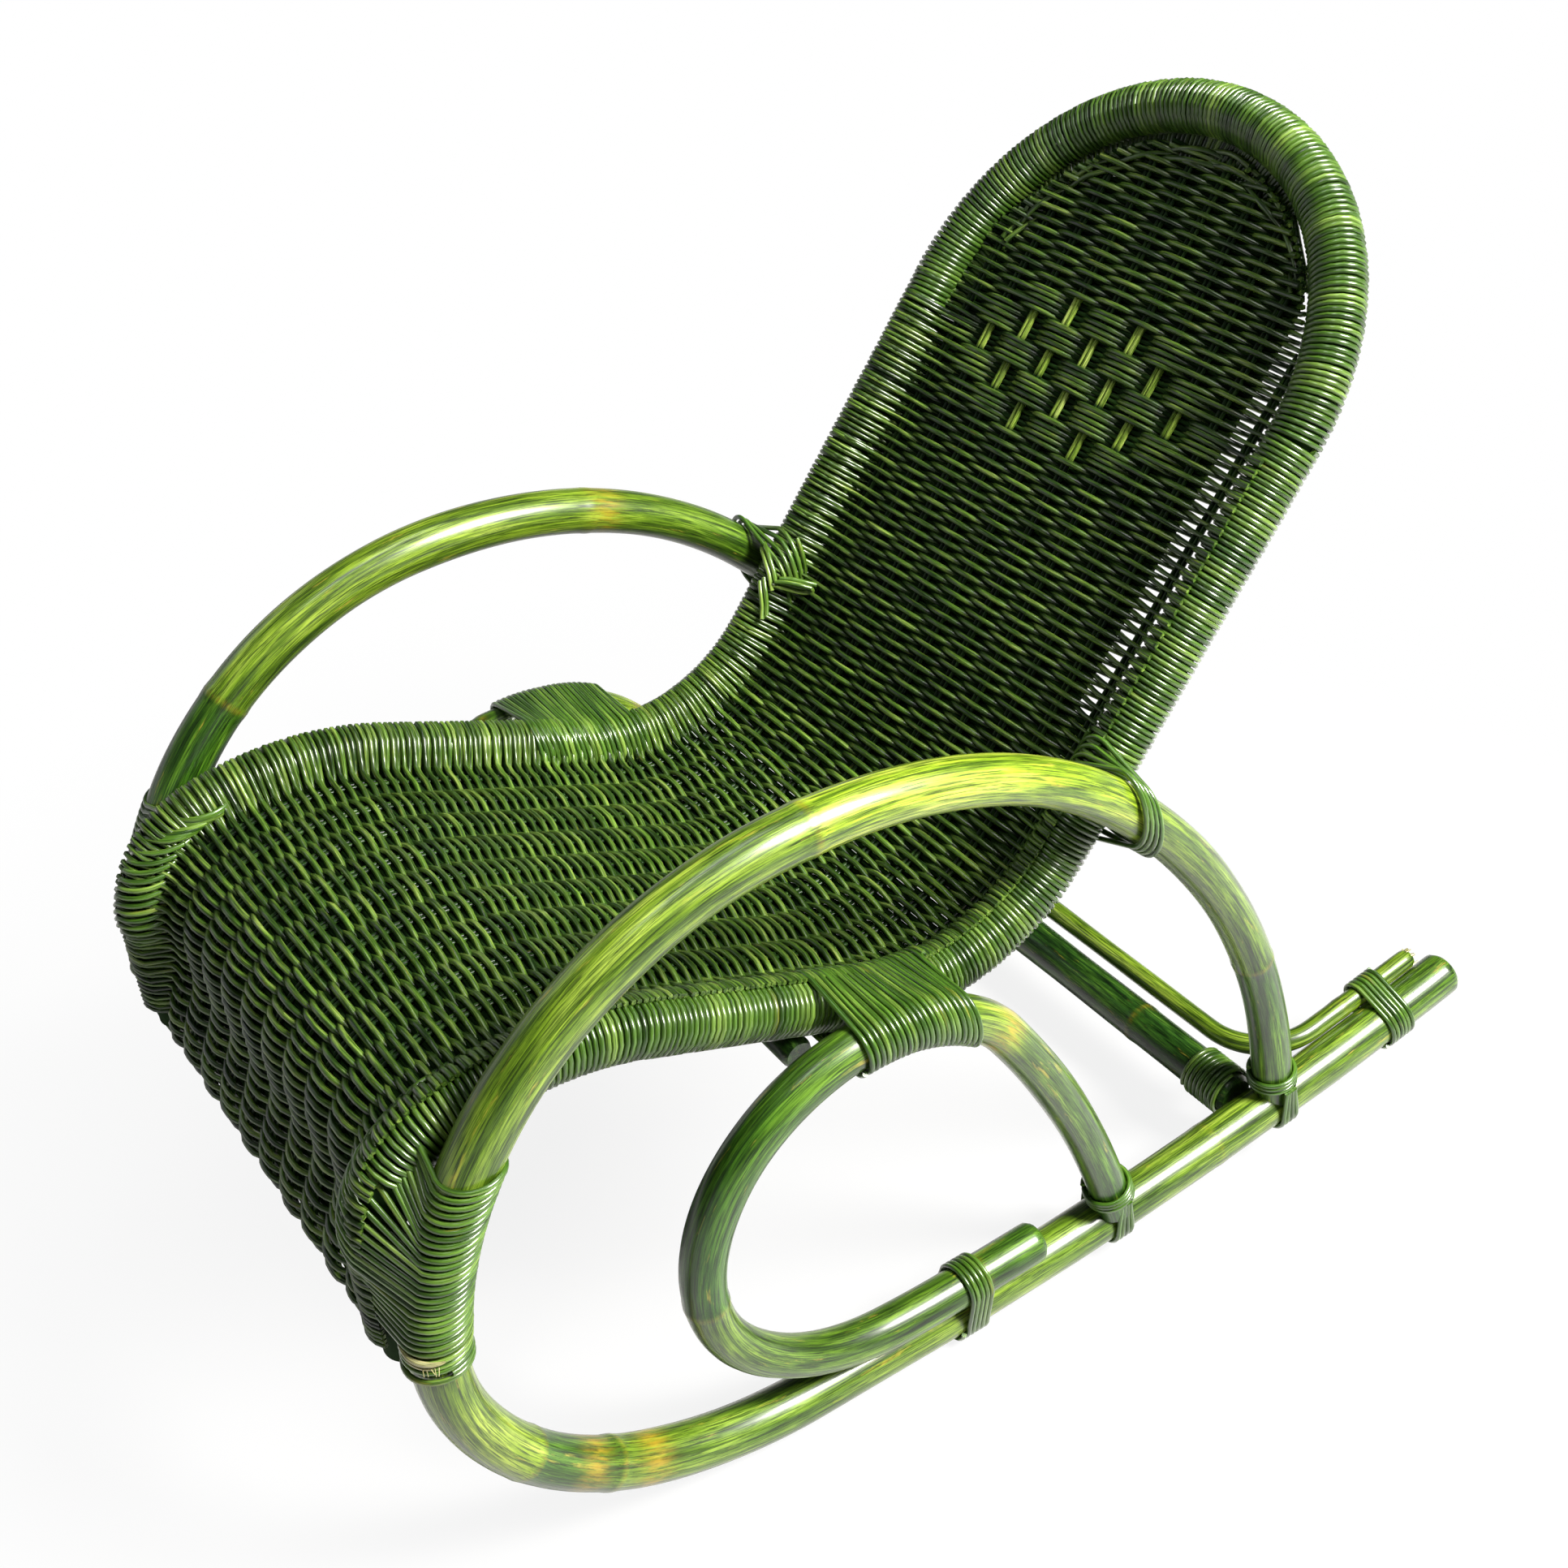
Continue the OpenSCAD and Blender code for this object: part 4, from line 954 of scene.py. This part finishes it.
# Rail bindings
# Where loop and seat rail run side by side, a broad band of cane binds them.
BINDING_U = (133.0, 236.0)
BINDING_PITCH = 4.75
loop_poses = run_poses(LOOP_START, LOOP_RUN[:4], step=1.0)
loop_top = loop_poses[loop_poses[:, 1] > 215]
rail_line = run_poses(RAIL_AT, HOOP_RUN[3:5], step=1.0)


def height_at(u, poses):
    order = np.argsort(poses[:, 0])
    return np.interp(u, poses[order, 0], poses[order, 1])


for side, name in ((1, "left"), (-1, "right")):
    k = np.arange(int((BINDING_U[1] - BINDING_U[0]) / BINDING_PITCH * BROAD_TURN) + 1)
    u = BINDING_U[0] + k / BROAD_TURN * BINDING_PITCH
    u = u + turn_by_turn(np.random.default_rng(110 + side), len(k), BROAD_TURN, 0.3)
    c1 = np.stack([height_at(u, loop_top), 0 * u], 1)
    c2 = np.stack([height_at(u, rail_line), np.full(len(u), LOOP_X - HOOP_X)], 1)
    slant = 1 + 0.3 * np.clip((190 - u) / 60, 0, 1)
    t = 2 * math.pi * k / BROAD_TURN
    p = outline(t, c1, (LOOP_RADIUS * slant, LOOP_RADIUS), c2, (RIM_R * 1.08, RIM_R), 0.5 + CANE_R)
    line = strand(place(side * (LOOP_X - p[:, 1]), u, p[:, 0]), CANE_R, start=120 + side * 3)
    band = sweep(name + "_binding_canes", [line], LASH, sides=7, uneven=0.4, scale=160, seed=6 + side)
    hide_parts(name + "_rail_binding")

# Arm lashings
# Split cane runs round arm and wound rail where they cross.
ARM_TURNS = 4.2
ARM_PITCH = 4.9
ARM_R = (20.0, 19.4)
arm_poses = pole_poses[pole_poses[:, 3] > 1700]
ahead, above = arm_poses[:, 0] - CROWN_AT[0], arm_poses[:, 1] - CROWN_AT[1]
cross = arm_poses[np.argmin(np.abs(ahead * math.sin(CROWN_H) - above * math.cos(CROWN_H)))]
spread = math.tan(math.radians((cross[2] - CROWN_AT[2]) / 2))
longer = math.sqrt(1 + spread**2)
axis_a = math.radians((cross[2] + CROWN_AT[2]) / 2)
for side, name in ((1, "left"), (-1, "right")):
    k = np.arange(int(ARM_TURNS * BROAD_TURN) + 1)
    along = (k / BROAD_TURN - ARM_TURNS / 2) * ARM_PITCH
    c1 = np.stack([along * spread, 0 * along], 1)
    c2 = np.stack([-along * spread, np.full(len(k), SIDE_X - HOOP_X)], 1)
    t = 2 * math.pi * k / BROAD_TURN + 1.1
    p = outline(t, c1, (ARM_R[0] * longer, ARM_R[1]), c2, (RIM_R * longer, RIM_R), 0.6 + CANE_R)
    u = cross[0] + along * math.cos(axis_a) - p[:, 0] * math.sin(axis_a)
    v = cross[1] + along * math.sin(axis_a) + p[:, 0] * math.cos(axis_a)
    knot = cane_ring(name + "_arm_canes", [place(side * (SIDE_X - p[:, 1]), u, v)], [130 + side])
    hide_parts(name + "_arm_lashing")


# Loose ends
# The far arm's lashing ends in a bow on the rail, a turn at the near leg's foot broke and shows its pale
# inside, and the brace's sawn ends have splayed into fibres.
def on_far_rail(d, degrees, out):
    """Points on the far rail in metres: d along it from the arm, round it from the sitter's side, and out."""
    a = np.radians(degrees)
    r = RIM_R + out
    u = cross[0] + d * math.cos(CROWN_H) + r * np.cos(a) * math.sin(CROWN_H)
    v = cross[1] + d * math.sin(CROWN_H) - r * np.cos(a) * math.cos(CROWN_H)
    return place(-HOOP_X + r * np.sin(a), u, v)


BOW = (
    ((16, -28, 5), (10, 4, 7), (0, 28, 6), (-12, 48, 5)),
    ((-8, 38, 5), (-6, 62, 6), (-2, 92, 12), (3, 104, 18), (6, 92, 20)),
    ((6, 92, 20), (4, 78, 16), (0, 60, 10), (-4, 46, 8)),
    ((-10, 18, 5), (-20, 34, 6), (-30, 48, 5), (-38, 56, 7)),
)
strands = []
for run in BOW:
    keys = np.array(run, float)
    fine = np.linspace(0, len(keys) - 1, 14)
    d, degrees, out = (np.interp(fine, np.arange(len(keys)), keys[:, k]) for k in range(3))
    for aside in (-2.2, 2.2):
        line = on_far_rail(d + aside, degrees + aside, out)
        strands.append(strand(line, PAIR_R, start=aside * 3, tone=0.9))
bow = sweep("far_arm_bow", strands, LASH, sides=7, uneven=0.5, scale=90, seed=140)

rng = np.random.default_rng(150)
BROKEN_R = 20.5 + 2 * CANE_R
strands = []
for from_a, to_a, at, r in ((12, 96, 309.5, 2.3), (30, 84, 305.5, 1.2)):
    a = np.radians(np.linspace(from_a, to_a, 18))
    v = at + 5.0 * np.linspace(0, 1, 18) ** 2
    line = place(SIDE_X + BROKEN_R * np.cos(a), front_u(v) + BROKEN_R * np.sin(a), v)
    strands.append(strand(line, r * np.sin(np.linspace(0.35, 2.9, 18)), start=at, tone=0.5))
for k in range(5):
    a = math.radians(22 + 6 * k)
    root = np.array([SIDE_X + 25.5 * math.cos(a), front_u(307.0) + 25.5 * math.sin(a), 307.0])
    drift = np.array([rng.uniform(0.5, 2.5), rng.uniform(-1.5, 2.0), -rng.uniform(3.0, 8.0)])
    strands.append(strand(to_row(root + np.linspace(0, 1, 5)[:, None] * drift), 0.35, start=k, tone=0.5))
broken = sweep("near_leg_broken_turn", strands, PALE, sides=5, uneven=0.3, scale=200, seed=151)

strands = []
x, u, v = brace_point(-16.0, BRACE_X)
for side in (1, -1):
    for k in range(26):
        a, r = rng.uniform(0, 2 * math.pi), 8.6 * math.sqrt(rng.uniform(0, 1))
        root = np.array([side * (x + r * math.cos(a)), u, v + r * math.sin(a)])
        drift = np.array([rng.normal(0, 1.2), -rng.uniform(3.5, 8.0), rng.normal(0.8, 1.2)])
        line = to_row(root + np.linspace(0, 1, 4)[:, None] * drift)
        strands.append(strand(line, rng.uniform(0.5, 1.3), start=k, tone=0.5))
fibres = sweep("brace_end_fibres", strands, PALE, sides=5, uneven=0.3, scale=200, seed=152)

# The hoop's own pole
# It shows only between the windings, so it keeps its CAD form. Its plain near-black colour is painted shade
# for the dark gaps between the turns.
# Painted shade: a near-black, dull colour for the pole seen between the turns.
HOOP_GAP_SHADE = bpy.data.materials.new("hoop_painted_shade")
HOOP_GAP_SHADE.use_nodes = True
n, link = HOOP_GAP_SHADE.node_tree.nodes, HOOP_GAP_SHADE.node_tree.links.new
where = n.new("ShaderNodeTexCoord")
noise = add(n, "ShaderNodeTexNoise", {"Scale": 60.0})
link(where.outputs["Object"], noise.inputs["Vector"])
ramp = n.new("ShaderNodeValToRGB")
ramp.color_ramp.elements[0].color = (0.006, 0.018, 0.004, 1)
ramp.color_ramp.elements[1].color = (0.015, 0.04, 0.008, 1)
link(noise.outputs["Fac"], ramp.inputs["Fac"])
link(ramp.outputs["Color"], n["Principled BSDF"].inputs["Base Color"])
n["Principled BSDF"].inputs["Roughness"].default_value = 0.8
n["Principled BSDF"].inputs["Specular IOR Level"].default_value = 0.1
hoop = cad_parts["hoop_pole"]
hoop.data.materials.clear()
hoop.data.materials.append(HOOP_GAP_SHADE)

# Camera
# Solved from the photo: both side frames are alike, and the poles' thicknesses give the distance.
PHOTO_PX = 1932
FOCAL_PX = 2510
OFF_CENTRE_PX = -11
camera = put("camera", bpy.data.cameras.new("camera"))
camera.data.sensor_width = 36.0
camera.data.lens = 36.0 * FOCAL_PX / PHOTO_PX
camera.data.shift_x = OFF_CENTRE_PX / PHOTO_PX
camera.data.shift_y = OFF_CENTRE_PX / PHOTO_PX
camera.data.clip_start = 0.05
right = (0.574239, 0.818681, 0.003407)
up = (-0.456227, 0.316546, 0.831658)
back = (0.679784, -0.479125, 0.555277)
spot = (1.101793, -0.817037, 1.308777)
camera.matrix_world = Matrix([*zip(right, up, back, spot), (0, 0, 0, 1)])
bpy.context.scene.camera = camera
bpy.context.scene.render.resolution_x = PHOTO_PX
bpy.context.scene.render.resolution_y = PHOTO_PX

# Floor
# A plain pale floor that keeps the chair's shadow and fades to white away from it in the camera's view.
floor_mesh = bpy.data.meshes.new("floor")
floor_mesh.from_pydata([(-6, -6, 0), (6, -6, 0), (6, 6, 0), (-6, 6, 0)], [], [(0, 1, 2, 3)])
floor = put("floor", floor_mesh)
floor_mat = bpy.data.materials.new("floor")
floor_mat.use_nodes = True
n, link = floor_mat.node_tree.nodes, floor_mat.node_tree.links.new
grey = n["Principled BSDF"]
grey.inputs["Base Color"].default_value = (0.50, 0.50, 0.50, 1)
grey.inputs["Roughness"].default_value = 0.9
grey.inputs["Specular IOR Level"].default_value = 0.0
white = add(n, "ShaderNodeEmission", {"Color": (1, 1, 1, 1), "Strength": 1.0})
seen = n.new("ShaderNodeLightPath")
where = n.new("ShaderNodeTexCoord")
away = add(n, "ShaderNodeVectorMath", operation="LENGTH")
link(where.outputs["Object"], away.inputs[0])
fade = add(n, "ShaderNodeMapRange", {"From Min": 0.3, "From Max": 1.1, "To Min": 0.87, "To Max": 1.0})
link(away.outputs["Value"], fade.inputs["Value"])
share = maths(floor_mat.node_tree, "MULTIPLY", seen.outputs["Is Camera Ray"], fade.outputs["Result"])
both = n.new("ShaderNodeMixShader")
link(share, both.inputs["Fac"])
link(grey.outputs[0], both.inputs[1])
link(white.outputs[0], both.inputs[2])
link(both.outputs[0], n["Material Output"].inputs["Surface"])
floor_mesh.materials.append(floor_mat)

# World
# A faint ambient light. Camera and transmission rays see white, and glossy rays see it near the horizon.
world = bpy.data.worlds.new("studio")
bpy.context.scene.world = world
world.use_nodes = True
n, link = world.node_tree.nodes, world.node_tree.links.new
ambient = n["Background"]
ambient.inputs["Color"].default_value = (0.90, 0.93, 0.96, 1)
ambient.inputs["Strength"].default_value = 0.065
white = add(n, "ShaderNodeBackground", {"Color": (1, 1, 1, 1), "Strength": 1.0})
ray = n.new("ShaderNodeLightPath").outputs
straight_on = maths(world.node_tree, "MAXIMUM", ray["Is Camera Ray"], ray["Is Transmission Ray"])
sky = n.new("ShaderNodeTexCoord")
height = n.new("ShaderNodeSeparateXYZ")
link(sky.outputs["Generated"], height.inputs[0])
low_down = add(n, "ShaderNodeMapRange", {"From Min": 0.14, "From Max": 0.0})
link(height.outputs["Z"], low_down.inputs["Value"])
glossy = maths(world.node_tree, "MULTIPLY", ray["Is Glossy Ray"], low_down.outputs["Result"])
shows = maths(world.node_tree, "MAXIMUM", straight_on, glossy)
blend = n.new("ShaderNodeMixShader")
link(shows, blend.inputs["Fac"])
link(ambient.outputs[0], blend.inputs[1])
link(white.outputs[0], blend.inputs[2])
link(blend.outputs[0], n["World Output"].inputs["Surface"])

# Lamps
# A broad soft key from behind the chair on the near side, a narrow strip above and a weak fill.
AIM = np.array((0.0, 0.0, 0.4))
for name, spot, size, power, colour in (
    ("key", (2.0, 1.15, 2.8), (1.0, 1.0), 365, (1.0, 0.98, 0.94)),
    ("strip", (0.3, -0.4, 3.4), (0.45, 2.4), 26, (1, 1, 1)),
    ("fill", (-2.4, -1.6, 1.9), (1.4, 1.4), 6, (0.92, 0.97, 1.0)),
):
    lamp = bpy.data.lights.new(name, "AREA")
    lamp.shape = "RECTANGLE"
    lamp.size, lamp.size_y = size
    lamp.energy = power
    lamp.color = colour
    obj = put(name, lamp)
    z = np.array(spot) - AIM
    z /= np.linalg.norm(z)
    x = np.cross((0.0, 0.0, 1.0), z)
    x /= np.linalg.norm(x)
    obj.matrix_world = Matrix([*zip(x, np.cross(z, x), z, spot), (0, 0, 0, 1)])

bpy.context.scene.view_settings.view_transform = "Standard"
